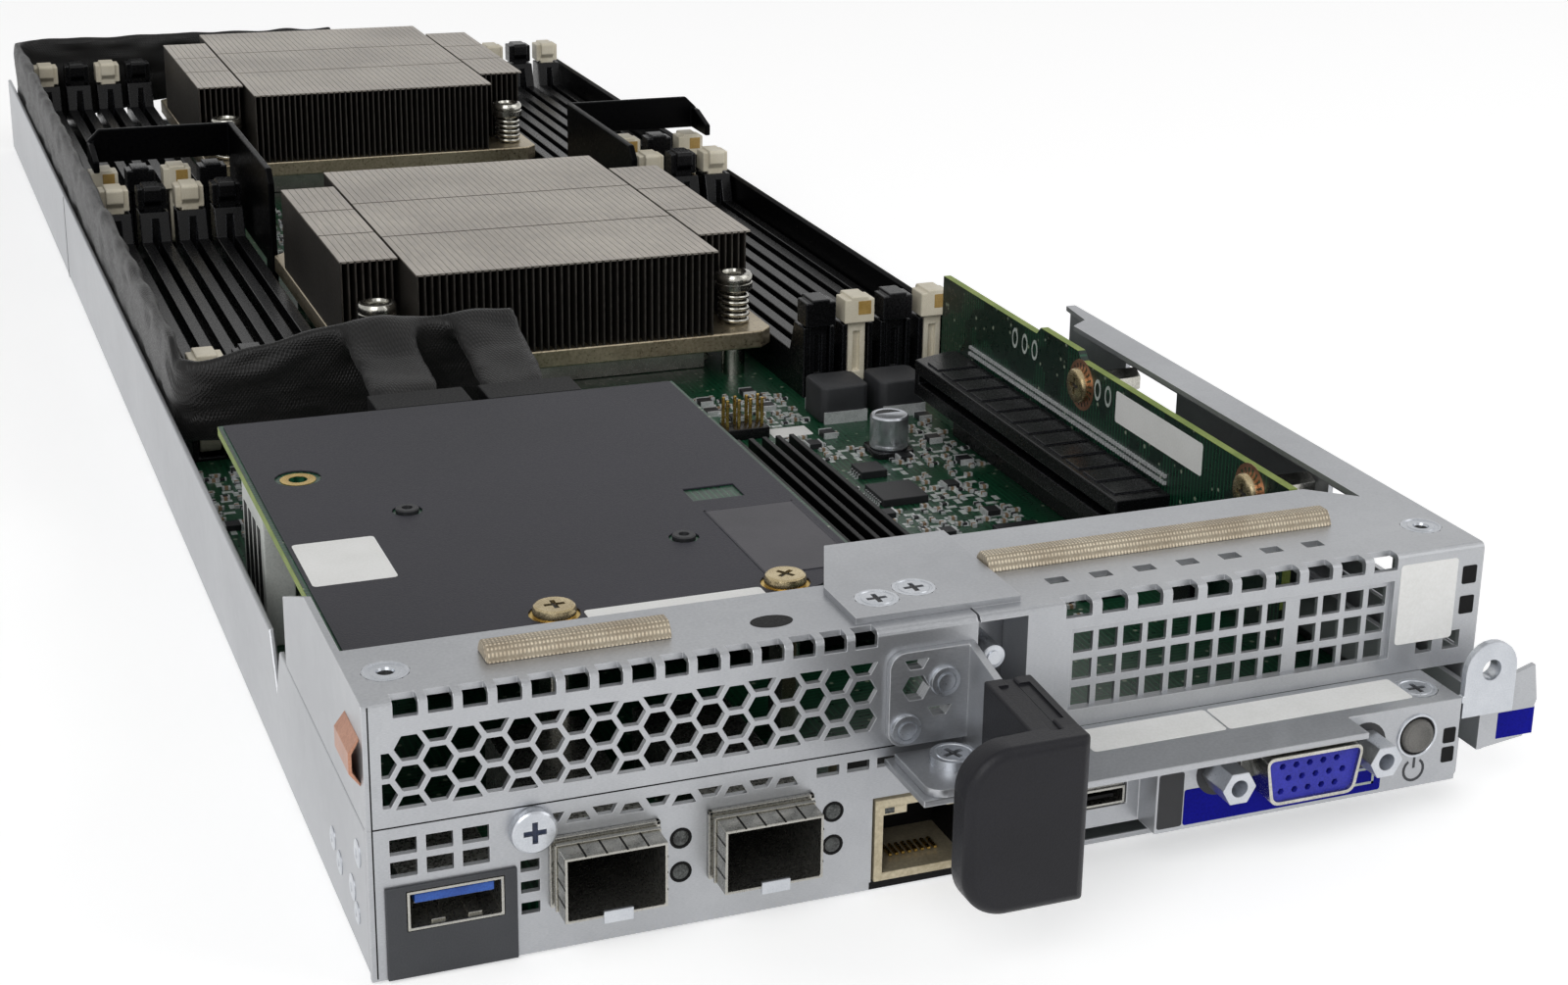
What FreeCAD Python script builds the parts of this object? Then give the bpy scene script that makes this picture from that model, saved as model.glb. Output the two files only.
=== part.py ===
import FreeCAD, Part
import math
import os
import re
import Sketcher

# Half-width server sled: a sheet-metal tray with a two-socket board, low heat sinks,
# memory banks, a mezzanine card, a slot riser and a front with ports and a pull handle.
# +Y runs from the front panel to the back, +Z up; the origin is the middle of the tray's underside.
# All sizes are in millimetres. Depths named *_y are measured back from the front panel.
SIZES = {
    # tray and sheet metal
    "tray_length": 525.0, "tray_width": 173.4, "wall_height": 22.0, "sheet_thick": 1.0, "node_height": 40.4,
    "rear_lip": 6.0, "bend_radius": 1.2, "fit_gap": 0.3, "slip_gap": 0.1, "screw_fit": 0.1, "notch_y": 62.0,
    "notch_width": 9.0, "notch_depth": 9.0, "cut_over": 1.0,
    # main board
    "board_top": 7.0, "board_thick": 2.0, "board_side_gap": 1.2, "board_front_y": 3.0,
    "board_rear_gap": 9.0, "standoff_radius": 3.2, "standoff_side": 74.0, "standoff_front_y": 24.0,
    "standoff_pitch": 158.0, "jack_bay_gap": 0.5,
    # lower left panel
    "panel_height": 22.4, "panel_right": 8.0, "led_radius": 1.3, "led_low": 8.4, "led_high": 13.6,
    "led_length": 5.0, "led_proud": 0.2, "vent_size": 3.6, "vent_pitch": 4.85, "vent_left": -83.7,
    "vent_low": 15.0, "vent_height": 2.3, "vent_row": 3.3, "side_vent_left": -66.2, "side_vent_width": 2.6,
    "side_vent_height": 1.7, "side_vent_low": 6.2, "side_vent_row": 3.2, "slot_row_z": 20.1,
    "slot_row_height": 1.5, "slot_row_width": 3.4, "slot_row_left": -23.6, "slot_row_pitch": 4.6,
    "hex_slot_half": 1.75, "hex_slot_height": 1.4, "hex_slot_z": 20.6, "hex_slot_drop": 1.8,
    # hexagon grille bracket
    "grille_right": 0.6, "hex_radius": 2.05, "hex_pitch": 3.75, "hex_row": 4.33, "hex_left": -80.6,
    "hex_low": 29.2, "fold_slot_width": 3.3, "fold_slot_pitch": 4.6, "fold_slot_left": -82.6,
    "fold_slot_reach": 2.4, "flange_depth": 18.0, "side_flange_depth": 56.0, "side_flange_slope": 18.0,
    "side_flange_drop": 7.0, "end_flange_depth": 10.0,
    # slot cage
    "cage_left": 8.4, "cage_bottom": 20.6, "window_left": 15.5, "window_right": 70.6, "window_low": 23.4,
    "window_high": 36.2, "cage_flange_depth": 30.0, "cage_flange_step": 12.0, "cage_flange_turn": 72.6,
    "cage_tab_left": -17.0, "cage_tab_right": 8.6, "cage_tab_front": 3.0, "cage_tab_depth": 15.0,
    "cage_tab_slope": 6.0, "cage_slot_width": 4.2, "cage_slot_pitch": 5.8, "cage_slot_left": 14.5,
    "rail_depth": 138.0, "rail_low": 22.4, "rail_lip": 7.0, "rail_hook": 3.0, "rail_hook_length": 10.0,
    "rail_window_low": 26.4, "rail_window_height": 9.0, "rail_window_length": 20.0, "rail_window_y": 22.0,
    "rail_window_step": 72.0, "punch_width": 3.2, "punch_depth": 2.2, "punch_pitch": 7.3, "punch_y": 7.4,
    "ear_hole_size": 3.0, "ear_hole_left": 75.6, "ear_hole_step": 5.0,
    # slot cover
    "cover_thick": 0.8, "cover_lap": 1.4, "grid_size": 3.1, "grid_pitch": 4.06, "grid_row": 4.3,
    "grid_left": 18.0, "grid_low": 24.9, "grid_gap": 1.6,
    # lower right box
    "ledge_top": 20.6, "box_depth": 11.0, "hood_depth": 16.5, "hood_left": 6.0, "hood_right": 56.8,
    "box_left": 8.6, "box_step": 24.9, "box_step_depth": 6.0, "box_right": 77.0, "ledge_left": -13.4,
    "box_foot_y": 7.0,
    # handle
    "handle_thick": 1.2, "handle_left": -13.4, "handle_right": -1.2, "handle_low": 22.6,
    "handle_high": 37.0, "handle_corner": 2.5, "handle_reach": 27.0, "handle_slope": 6.0,
    "handle_tab_depth": 14.0, "handle_tab_inset": 1.0, "rivet_low_x": -10.8, "rivet_low_z": 25.4,
    "rivet_high_x": -5.0, "rivet_high_z": 32.0, "handle_screw_x": -5.6, "handle_screw_depth": 6.2,
    "grip_left": -15.0, "grip_wall": 4.6, "grip_reach": 31.0, "grip_low": 11.0, "grip_high": 35.4,
    "grip_side": 3.0, "grip_back_y": 12.0, "grip_corner": 6.5, "grip_edge": 0.9, "grip_rise": 1.0,
    # lock ear, release lever and copper contact
    "ear_thick": 1.2, "ear_left": 77.3, "ear_right": 86.6, "ear_low": 17.0, "ear_hole_z": 24.4,
    "ear_bore": 1.65, "ear_collar": 2.6, "ear_collar_length": 1.6, "ear_root": 1.0, "lever_thick": 1.0,
    "lever_x": 83.0, "lever_low": 9.5, "lever_high": 18.6, "lever_pivot_y": 46.0, "lever_tip_y": 8.0,
    "lever_tip_right": 93.5, "lever_tip_low": 10.5, "lever_tip_high": 22.5, "lever_tip_slope": 6.0,
    "lever_tip_bevel": 2.0, "anchor_length": 12.0, "contact_width": 9.0, "contact_bow": 1.5,
    "contact_low": 28.0, "contact_high": 35.0, "contact_thick": 0.5, "contact_flat": 1.5, "contact_y": 2.0,
    # gaskets
    "gasket_height": 2.2, "gasket_width": 5.4, "gasket_shoulder": 0.8, "gasket_left_x": -68.4,
    "gasket_left_end": -42.4, "gasket_left_y": 7.0, "gasket_right_x": 8.9, "gasket_right_end": 68.0,
    "gasket_right_y": 14.0,
    # screws and rivets
    "flat_head": 3.2, "pan_head": 3.3, "pan_height": 1.8, "shank": 1.5, "rivet_head": 2.3,
    "rivet_height": 1.0, "corner_screw_x": 81.4, "corner_screw_y": 9.6, "tab_screw_x": -11.4,
    "tab_screw_step": 6.6, "tab_screw_y": 8.8, "tab_screw_shift": 2.0, "panel_screw_x": -64.6,
    "panel_screw_z": 19.1, "ledge_screw_x": 72.4, "ledge_screw_y": 5.6,
    # front ports
    "usb_x": -75.2, "usb_width": 13.1, "usb_height": 5.8, "usb_depth": 17.0, "usb_shell": 0.4,
    "usb_back": 2.0, "usb_tongue_inset": 1.2, "usb_tongue_thick": 1.6, "usb_tongue_rise": 3.2,
    "bezel_thick": 0.5, "bezel_left": -84.6, "bezel_right": -66.8, "bezel_high": 13.7, "cage_one_x": -54.6,
    "cage_two_x": -32.0, "cage_width": 14.4, "cage_height": 9.7, "cage_length": 42.0, "cage_proud": 6.0,
    "cage_wall": 0.4, "cage_cut_gap": 0.3, "led_step_x": 11.0, "jack_x": -6.6, "jack_width": 16.0,
    "jack_low": 1.3, "jack_high": 14.2, "jack_depth": 18.0, "jack_wall": 1.3, "jack_back": 3.0,
    "jack_proud": 0.3, "micro_x": 18.6, "micro_z": 11.8, "micro_width": 7.6, "micro_height": 2.8,
    "micro_depth": 5.2, "micro_proud": 0.2, "vga_x": 47.5, "vga_z": 15.5, "vga_width": 16.6,
    "vga_height": 7.7, "vga_taper": 1.2, "vga_shell": 0.5, "vga_proud": 6.0, "vga_depth": 9.0,
    "vga_recess": 0.6, "vga_screw_pitch": 24.99, "vga_screw_flat": 4.8, "vga_screw_depth": 10.0,
    "vga_thread": 1.3, "vga_thread_depth": 5.0, "vga_hole_gap": 0.5, "vga_pin": 0.55, "vga_pin_pitch": 2.29,
    "vga_pin_row": 1.98, "button_x": 69.3, "button_z": 15.6, "button_radius": 2.7, "button_length": 6.0,
    "button_proud": 0.9, "button_fit": 0.15, "button_flange": 3.6, "button_flange_thick": 1.2,
    # processors and heat sinks
    "axis_x": 2.0, "cpu_front_y": 256.5, "cpu_pitch": 194.0, "cpu_size": 52.5, "cpu_thick": 4.6,
    "socket_size": 70.0, "socket_height": 3.4, "socket_lip": 0.4, "socket_lever_radius": 0.9,
    "socket_lever_inset": 2.0, "socket_lever_rise": 2.0, "sink_width": 93.2, "sink_length": 98.0,
    "sink_side_length": 68.0, "sink_base": 4.0, "sink_top": 38.0, "sink_mid_width": 67.0, "fin_pitch": 2.0,
    "fin_thick": 0.6, "sink_corner": 3.0, "sink_screw_pitch": 80.0, "sink_screw_radius": 4.2,
    "sink_screw_top": 30.6, "sink_screw_cap": 4.0, "sink_spring_radius": 3.5, "sink_stud_radius": 2.6,
    # memory sockets and latches
    "dimm_front_y": 268.5, "dimm_bank_pitch": 167.0, "dimm_length": 150.0, "dimm_inner_x": 51.6,
    "dimm_pitch": 9.1, "dimm_width": 7.2, "dimm_body": 9.0, "dimm_groove": 1.8, "dimm_groove_depth": 6.0,
    "dimm_tower": 8.6, "dimm_tower_high": 16.0, "dimm_tower_slope": 2.5, "dimm_cheek": 1.1,
    "dimm_floor": 0.8, "groove_end": 6.6, "latch_thick": 4.0, "latch_fit": 0.4, "latch_pivot": 3.3,
    "latch_top": 22.4, "latch_head": 5.0, "latch_head_width": 7.0, "latch_beak": 1.4, "latch_thumb": 1.6,
    "latch_edge": 0.6, "latch_inset": 0.6, "latch_slot_width": 1.6, "latch_slot_depth": 1.0,
    "latch_slot_low": 5.0, "latch_slot_high": 14.0,
    # board parts
    "choke_size": 11.0, "choke_height": 8.0, "choke_corner": 1.2, "choke_x": 52.8, "choke_step": 13.6,
    "choke_y": 181.0, "cap_radius": 4.0, "cap_height": 8.4, "cap_x": 54.0, "cap_y": 155.0,
    "chip_sink_left": -12.0, "chip_sink_right": 20.4, "chip_sink_y": 62.0, "chip_sink_length": 59.0,
    "chip_sink_top": 26.0, "chip_sink_base": 3.0, "chip_sink_pitch": 2.7, "chip_sink_fin": 1.0,
    "chip_size": 27.0, "chip_thick": 2.6, "small_chip_x": 45.0, "small_chip_y": 130.0,
    "small_chip_thick": 1.6, "small_chip_size": 8.0, "small_chip_step": 14.0,
    # mezzanine card
    "card_left": -82.6, "card_right": 2.6, "card_y": 23.0, "card_length": 119.0, "card_top": 31.6,
    "card_thick": 1.6, "film_thick": 0.35, "film_edge": 0.8, "film_notch": 9.0, "film_ring": 0.6,
    "card_screw_x": -49.8, "card_screw_step": 36.6, "card_screw_y": 40.0, "card_hole_x": -74.4,
    "card_hole_y": 110.0, "small_screw_x": -60.6, "small_screw_y": 89.0, "small_screw_step": 38.8,
    "small_screw_shift": 26.0, "small_screw_head": 1.9, "small_screw_height": 0.9, "card_post_radius": 2.6,
    "chip_window_x": -15.0, "chip_window_y": 78.0, "chip_window_width": 9.0, "chip_window_length": 6.0,
    "clip_y": 98.0, "clip_length": 20.0, "clip_width": 5.0, "plug_width": 18.0, "plug_depth": 9.0,
    "plug_gap": 0.3, "plug_low": 21.0, "stack_x": -40.0, "stack_width": 50.0, "stack_depth": 6.0,
    "stack_y": 70.0,
    # slot riser
    "riser_x": 74.0, "riser_thick": 1.6, "riser_y": 36.0, "riser_length": 138.0, "riser_low": 10.6,
    "riser_top": 38.0, "riser_bump": 1.6, "riser_bump_y": 112.0, "riser_bump_length": 16.0,
    "slot_length": 89.0, "slot_height": 11.0, "slot_width": 7.6, "slot_z": 20.0, "slot_y": 74.0,
    "slot_groove": 1.8, "slot_groove_floor": 2.0, "slot_end": 2.0, "slot_ramp": 3.0,
    "riser_socket_width": 8.0, "riser_socket_height": 9.0, "riser_socket_y": 60.0,
    "riser_socket_length": 100.0, "riser_screw_head": 3.4, "riser_screw_height": 1.6, "riser_screw_y": 48.0,
    "riser_screw_step": 62.0, "riser_screw_z": 33.4, "riser_post_radius": 2.5,
    # black edge trim on the right wall
    "trim_thick": 0.6, "trim_y": 186.0, "trim_rise": 0.8,
    # baffles, cable sleeve and back connector
    "baffle_thick": 1.5, "baffle_top": 39.0, "baffle_low": 30.4, "baffle_inner_x": 45.0,
    "baffle_outer_x": 82.0, "baffle_y": 364.0, "baffle_gap": 1.0, "baffle_foot": 8.0, "baffle_bevel": 3.0,
    "baffle_return": 12.0, "sleeve_thick": 3.0, "sleeve_height": 21.0, "sleeve_low": 14.5,
    "sleeve_edge": 0.9, "sleeve_wall_gap": 0.4, "sleeve_turn": 6.0, "sleeve_leg_y": 181.0,
    "sleeve_back": 1.6, "sleeve_end_x": 14.0, "sleeve_leg_one_x": -52.0, "sleeve_leg_two_x": -31.0,
    "sleeve_leg_width": 14.0, "leg_start": 3.0, "leg_thick": 3.0, "leg_drop": 7.0, "leg_run": 8.0,
    "back_plug_x": 18.0, "back_plug_width": 28.0, "back_plug_depth": 12.0, "back_plug_height": 12.0,
    "back_plug_inset": 4.0, "back_pocket": 7.0, "back_pocket_depth": 8.0, "back_pocket_wall": 2.0,
}

doc = FreeCAD.newDocument("server_node")
sheet = doc.addObject("Spreadsheet::Sheet", "Dims")
for row, (alias, value) in enumerate(SIZES.items(), 1):
    sheet.set(f"A{row}", str(value))
    sheet.setAlias(f"A{row}", alias)
doc.recompute()

WORD = re.compile(r"[A-Za-z_]\w*")
FRONT = "(-tray_length/2)"
BACK = "(tray_length/2)"
SIDE = "(tray_width/2)"
INNER = "(tray_width/2-sheet_thick)"
BOARD = "board_top"
BANK_Y = {"front": f"({FRONT}+dimm_front_y)", "rear": f"({FRONT}+dimm_front_y+dimm_bank_pitch)"}
CPU_Y = {"front": f"({FRONT}+cpu_front_y)", "rear": f"({FRONT}+cpu_front_y+cpu_pitch)"}
SIDES = {"left": -1, "right": 1}
TURNS = {"x": (FreeCAD.Vector(0, 1, 0), 90), "y": (FreeCAD.Vector(1, 0, 0), -90),
         "z": (FreeCAD.Vector(0, 0, 1), 0)}
PLANES = {"xz": "XZ_Plane", "xy": "XY_Plane", "yz": "YZ_Plane"}
HOME = ("0", "0", "0")
nodes = {}


def bound(text):
    return WORD.sub(lambda word: f"Dims.{word[0]}" if word[0] in SIZES else word[0], str(text))


def number(text):
    return float(sheet.evalExpression(bound(text)))


def back(depth):
    return f"({FRONT}+{depth})"


def ahead(depth):
    return f"({FRONT}-({depth}))"


def bind(item, **links):
    for prop, text in links.items():
        item.setExpression(prop, bound(text))
    return item


def seat(item, spot):
    for axis, text in zip("xyz", spot):
        item.setExpression(f"Placement.Base.{axis}", bound(text))
    return item


def block(name, corner, size):
    item = doc.addObject("Part::Box", name)
    bind(item, Length=size[0], Width=size[1], Height=size[2])
    return seat(item, corner)


def rod(name, spot, radius, length, axis="z"):
    item = doc.addObject("Part::Cylinder", name)
    item.Placement.Rotation = FreeCAD.Rotation(*TURNS[axis])
    bind(item, Radius=radius, Height=length)
    return seat(item, spot)


def prism(name, spot, radius, length, axis="z", sides=6):
    item = doc.addObject("Part::Prism", name)
    item.Polygon = sides
    item.Placement.Rotation = FreeCAD.Rotation(*TURNS[axis])
    bind(item, Circumradius=radius, Height=length)
    return seat(item, spot)


def rectangle(left, low, width, height):
    right, high = f"{left}+{width}", f"{low}+{height}"
    return [(left, low), (right, low), (right, high), (left, high)]


def span(left, low, right, high):
    return [(left, low), (right, low), (right, high), (left, high)]


def ring(x, y, radius, sides=12):
    turns = [2 * math.pi * k / sides for k in range(sides)]
    return [(f"{x}+({radius})*{math.cos(turn):.6f}", f"{y}+({radius})*{math.sin(turn):.6f}")
            for turn in turns]


def draw_loop(sketch, points):
    first, count = sketch.GeometryCount, len(points)
    spots = [(number(x), number(y)) for x, y in points]
    ends = [FreeCAD.Vector(x, y, 0) for x, y in spots]
    sketch.addGeometry([Part.LineSegment(ends[k], ends[(k + 1) % count]) for k in range(count)])
    sketch.addConstraint([Sketcher.Constraint("Coincident", first + k, 2, first + (k + 1) % count, 1)
                          for k in range(count)])
    for k, point in enumerate(points):
        for kind, text, value in zip(("DistanceX", "DistanceY"), point, spots[k]):
            index = sketch.addConstraint(Sketcher.Constraint(kind, -1, 1, first + k, 1, value))
            sketch.setExpression(f"Constraints[{index}]", bound(text))


def sketch_on(body, plane, loops):
    sketch = body.newObject("Sketcher::SketchObject", f"{body.Name}_sketch")
    face = next(item for item in body.Origin.OriginFeatures if item.Role == PLANES[plane])
    sketch.AttachmentSupport = (face, [""])
    sketch.MapMode = "FlatFace"
    for loop in loops:
        draw_loop(sketch, loop)
    return sketch


def plate(name, plane, loops, thick, spot=HOME):
    """Body whose outline and holes lie in one plane, thickened towards +X, +Y or +Z."""
    body = doc.addObject("PartDesign::Body", name)
    pad = body.newObject("PartDesign::Pad", f"{name}_pad")
    pad.Profile = sketch_on(body, plane, loops)
    pad.Reversed = plane == "xz"
    bind(pad, Length=thick)
    body.Tip = pad
    return seat(body, spot)


def soften(body, radius, pick, kind="Fillet"):
    """Round or bevel those edges of a body whose middle and direction pass a test."""
    doc.recompute()
    tip = body.Tip
    chosen = []
    for index, edge in enumerate(tip.Shape.Edges, 1):
        run = edge.Vertexes[-1].Point - edge.Vertexes[0].Point
        if run.Length > 0 and pick(edge.CenterOfMass, run.normalize()):
            chosen.append(f"Edge{index}")
    edge = body.newObject(f"PartDesign::{kind}", f"{body.Name}_soft")
    edge.Base = (tip, chosen)
    bind(edge, **{"Radius" if kind == "Fillet" else "Size": radius})
    body.Tip = edge
    return body


def punch_field(body, loop, columns, pitch, rows=1, row_pitch="1"):
    """Cut one opening through an upright plate and repeat it in columns and rows."""
    doc.recompute()
    before = body.Tip.Shape.Volume
    sketch = sketch_on(body, "xz", [loop])
    pocket = body.newObject("PartDesign::Pocket", f"{body.Name}_punch")
    pocket.Profile = sketch
    pocket.Type = "ThroughAll"
    field = body.newObject("PartDesign::MultiTransform", f"{body.Name}_field")
    field.Originals = [pocket]
    steps = []
    for axis, count, step in (("H_Axis", columns, pitch), ("V_Axis", rows, row_pitch)):
        if count > 1:
            pattern = body.newObject("PartDesign::LinearPattern", f"{body.Name}_{axis[0]}")
            pattern.Direction = (sketch, [axis])
            bind(pattern, Length=f"{step}*{count - 1}")
            pattern.Occurrences = count
            steps.append(pattern)
    field.Transformations = steps
    body.Tip = field
    doc.recompute()
    if body.Tip.Shape.Volume >= before:
        raise RuntimeError(f"{body.Name}: the openings cut nothing")


def fuse(name, *items):
    joined = doc.addObject("Part::MultiFuse", name)
    joined.Shapes = list(items)
    joined.Refine = True
    return joined


def group(name, *items):
    gathered = doc.addObject("Part::Compound", name)
    gathered.Links = list(items)
    return gathered


def cut(name, base, *tools):
    result = doc.addObject("Part::Cut", name)
    result.Base = base
    result.Tool = tools[0] if len(tools) == 1 else group(f"{name}_tools", *tools)
    return result


def repeat(name, source, spots):
    """The same piece at several places, in one node."""
    doc.recompute()
    copies = [source.Shape.translated(FreeCAD.Vector(*map(number, spot))) for spot in spots]
    item = doc.addObject("Part::Feature", name)
    item.Shape = Part.makeCompound(copies)
    return item


def keep(label, item):
    item.Label = label
    nodes[label] = item
    return item


def tube(name, x, y, z, width, height, depth, wall, closed):
    """Rectangular shell open to the front; x is its middle and z its underside."""
    outer = block(f"{name}_outer", (f"{x}-{width}/2", y, z), (width, depth, height))
    inner = block(f"{name}_inner", (f"{x}-{width}/2+{wall}", f"{y}-cut_over", f"{z}+{wall}"),
                  (f"{width}-2*{wall}", f"{depth}-{closed}+cut_over", f"{height}-2*{wall}"))
    return cut(name, outer, inner)


def build_tray():
    wall, thick = "wall_height", "sheet_thick"
    profile = [(f"-{SIDE}", "0"), (SIDE, "0"), (SIDE, wall), (INNER, wall), (INNER, thick),
               (f"-{INNER}", thick), (f"-{INNER}", wall), (f"-{SIDE}", wall)]
    channel = plate("tray_channel", "xz", [profile], f"tray_length-{thick}", ("0", back(thick), "0"))
    soften(channel, "bend_radius", lambda spot, run: abs(run.y) > 0.9 and spot.z < 0.1)
    lip = block("tray_lip", (f"-{INNER}", f"{BACK}-{thick}", thick), (f"2*{INNER}", thick, "rear_lip"))
    near, far = back("notch_y"), back("notch_y+notch_width")
    notch = [(near, wall), (back("notch_y+notch_width/2"), f"{wall}-notch_depth"), (far, wall),
             (far, f"{wall}+cut_over"), (near, f"{wall}+cut_over")]
    wedge = plate("tray_notch", "yz", [notch], f"{thick}+2*cut_over", (f"-{SIDE}-cut_over", "0", "0"))
    start = "lever_x+lever_thick+fit_gap"
    anchor = block("tray_anchor", (start, back("lever_pivot_y-anchor_length/2"), "lever_low"),
                   (f"{INNER}-({start})", "anchor_length", "lever_high-lever_low"))
    keep("tray", cut("tray", fuse("tray_shell", channel, lip, anchor), wedge))


def build_panel():
    holes = [rectangle("usb_x-usb_width/2-fit_gap", f"{BOARD}-fit_gap", "usb_width+2*fit_gap",
                       "usb_height+2*fit_gap"),
             rectangle("jack_x-jack_width/2-fit_gap", "jack_low-fit_gap", "jack_width+2*fit_gap",
                       "jack_high-jack_low+2*fit_gap"),
             ring("panel_screw_x", "panel_screw_z", "shank+screw_fit")]
    for cage in ("cage_one_x", "cage_two_x"):
        holes.append(rectangle(f"{cage}-cage_width/2-cage_cut_gap", f"{BOARD}-cage_cut_gap",
                               "cage_width+2*cage_cut_gap", "cage_height+2*cage_cut_gap"))
        holes += [ring(f"{cage}+led_step_x", height, "led_radius+slip_gap")
                  for height in ("led_low", "led_high")]
    outline = span(f"-{SIDE}", "0", "panel_right", "panel_height")
    panel = plate("io_panel_plate", "xz", [outline] + holes, "sheet_thick", ("0", FRONT, "0"))
    punch_field(panel, rectangle("vent_left", "vent_low", "vent_size", "vent_height"), 3, "vent_pitch", 2,
                "vent_row")
    punch_field(panel, rectangle("side_vent_left", "side_vent_low", "side_vent_width", "side_vent_height"),
                1, "1", 3, "side_vent_row")
    punch_field(panel, rectangle("slot_row_left", "slot_row_z-slot_row_height/2", "slot_row_width",
                                 "slot_row_height"), 3, "slot_row_pitch")
    half, rise = "hex_slot_half", "hex_slot_height"
    for column, wide, lean in ((5, "hex_slot_z", -1), (6, "hex_slot_z-hex_slot_drop", 1)):
        slot = trapezoid(f"hex_left+hex_pitch*{column}", wide, half, rise, lean)
        punch_field(panel, slot, 5, "2*hex_pitch")
    keep("io_panel", panel)


def trapezoid(x, wide, half, rise, lean):
    """Half hexagon: its wide edge at one height, its narrow edge above it for lean 1 or below it for -1."""
    narrow = f"({half}-({rise})/sqrt(3))"
    edge = f"{wide}+{lean}*({rise})"
    return [(f"{x}-{half}", wide), (f"{x}+{half}", wide), (f"{x}+{narrow}", edge), (f"{x}-{narrow}", edge)]


def foot_holes():
    """Rivet holes and see-through openings that the handle's foot shares with the grille behind it."""
    holes = [ring(f"rivet_{place}_x", f"rivet_{place}_z", "shank+screw_fit") for place in ("low", "high")]
    holes.append(ring("hex_left+19*hex_pitch", "hex_low+hex_row/2", "hex_radius", 6))
    holes.append(trapezoid("hex_left+19*hex_pitch", "hex_low+1.5*hex_row", "hex_slot_half",
                           "hex_slot_height", -1))
    holes.append(trapezoid("hex_left+20*hex_pitch", "hex_low-hex_row/4", "hex_slot_half",
                           "hex_slot_height", -1))
    return holes


def build_grille():
    left, top, thick, low = f"-{SIDE}", "node_height", "sheet_thick", "panel_height"
    face = plate("grille_face", "xz", [span(left, low, "grille_right", top)] + foot_holes(), thick,
                 ("0", FRONT, "0"))
    radius, rise, step = "hex_radius", "hex_radius*sqrt(3)/2", "2*hex_pitch"
    punch_field(face, ring("hex_left", "hex_low", radius, 6), 9, step, 2, "hex_row")
    punch_field(face, ring("hex_left+hex_pitch", "hex_low-hex_row/2", radius, 6), 9, step, 2, "hex_row")
    punch_field(face, trapezoid("hex_left", "hex_low-hex_row", radius, rise, 1), 9, step)
    punch_field(face, trapezoid("hex_left+hex_pitch", "hex_low+1.5*hex_row", radius, rise, -1), 9, step)
    x, z = "hex_left-hex_pitch", "hex_low-hex_row/2"
    half_hex = [(x, f"{z}-{rise}"), (f"{x}+{radius}/2", f"{z}-{rise}"), (f"{x}+{radius}", z),
                (f"{x}+{radius}/2", f"{z}+{rise}"), (x, f"{z}+{rise}")]
    punch_field(face, half_hex, 1, "1", 2, "hex_row")
    seat_hole = ring("-corner_screw_x", back("corner_screw_y"), "flat_head+screw_fit")
    flange_loop = span(left, FRONT, "grille_right", back("flange_depth"))
    flange = plate("grille_flange", "xy", [flange_loop, seat_hole], thick, ("0", "0", f"{top}-{thick}"))
    far = back("side_flange_depth")
    side_loop = [(FRONT, low), (far, low), (far, f"{top}-side_flange_drop"),
                 (back("side_flange_depth-side_flange_slope"), top), (FRONT, top)]
    side = plate("grille_side", "yz", [side_loop], thick, (left, "0", "0"))
    end = block("grille_end", (f"grille_right-{thick}", FRONT, low),
                (thick, "end_flange_depth", f"{top}-{low}"))
    reach = "fold_slot_reach+cut_over"
    slots = [block(f"grille_slot_{k}", (f"fold_slot_left+fold_slot_pitch*{k}", ahead("cut_over"),
                                        f"{top}-fold_slot_reach"),
                   ("fold_slot_width", reach, reach)) for k in range(15)]
    keep("grille_bracket", cut("grille_bracket", fuse("grille_shell", face, flange, side, end), *slots))


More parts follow.
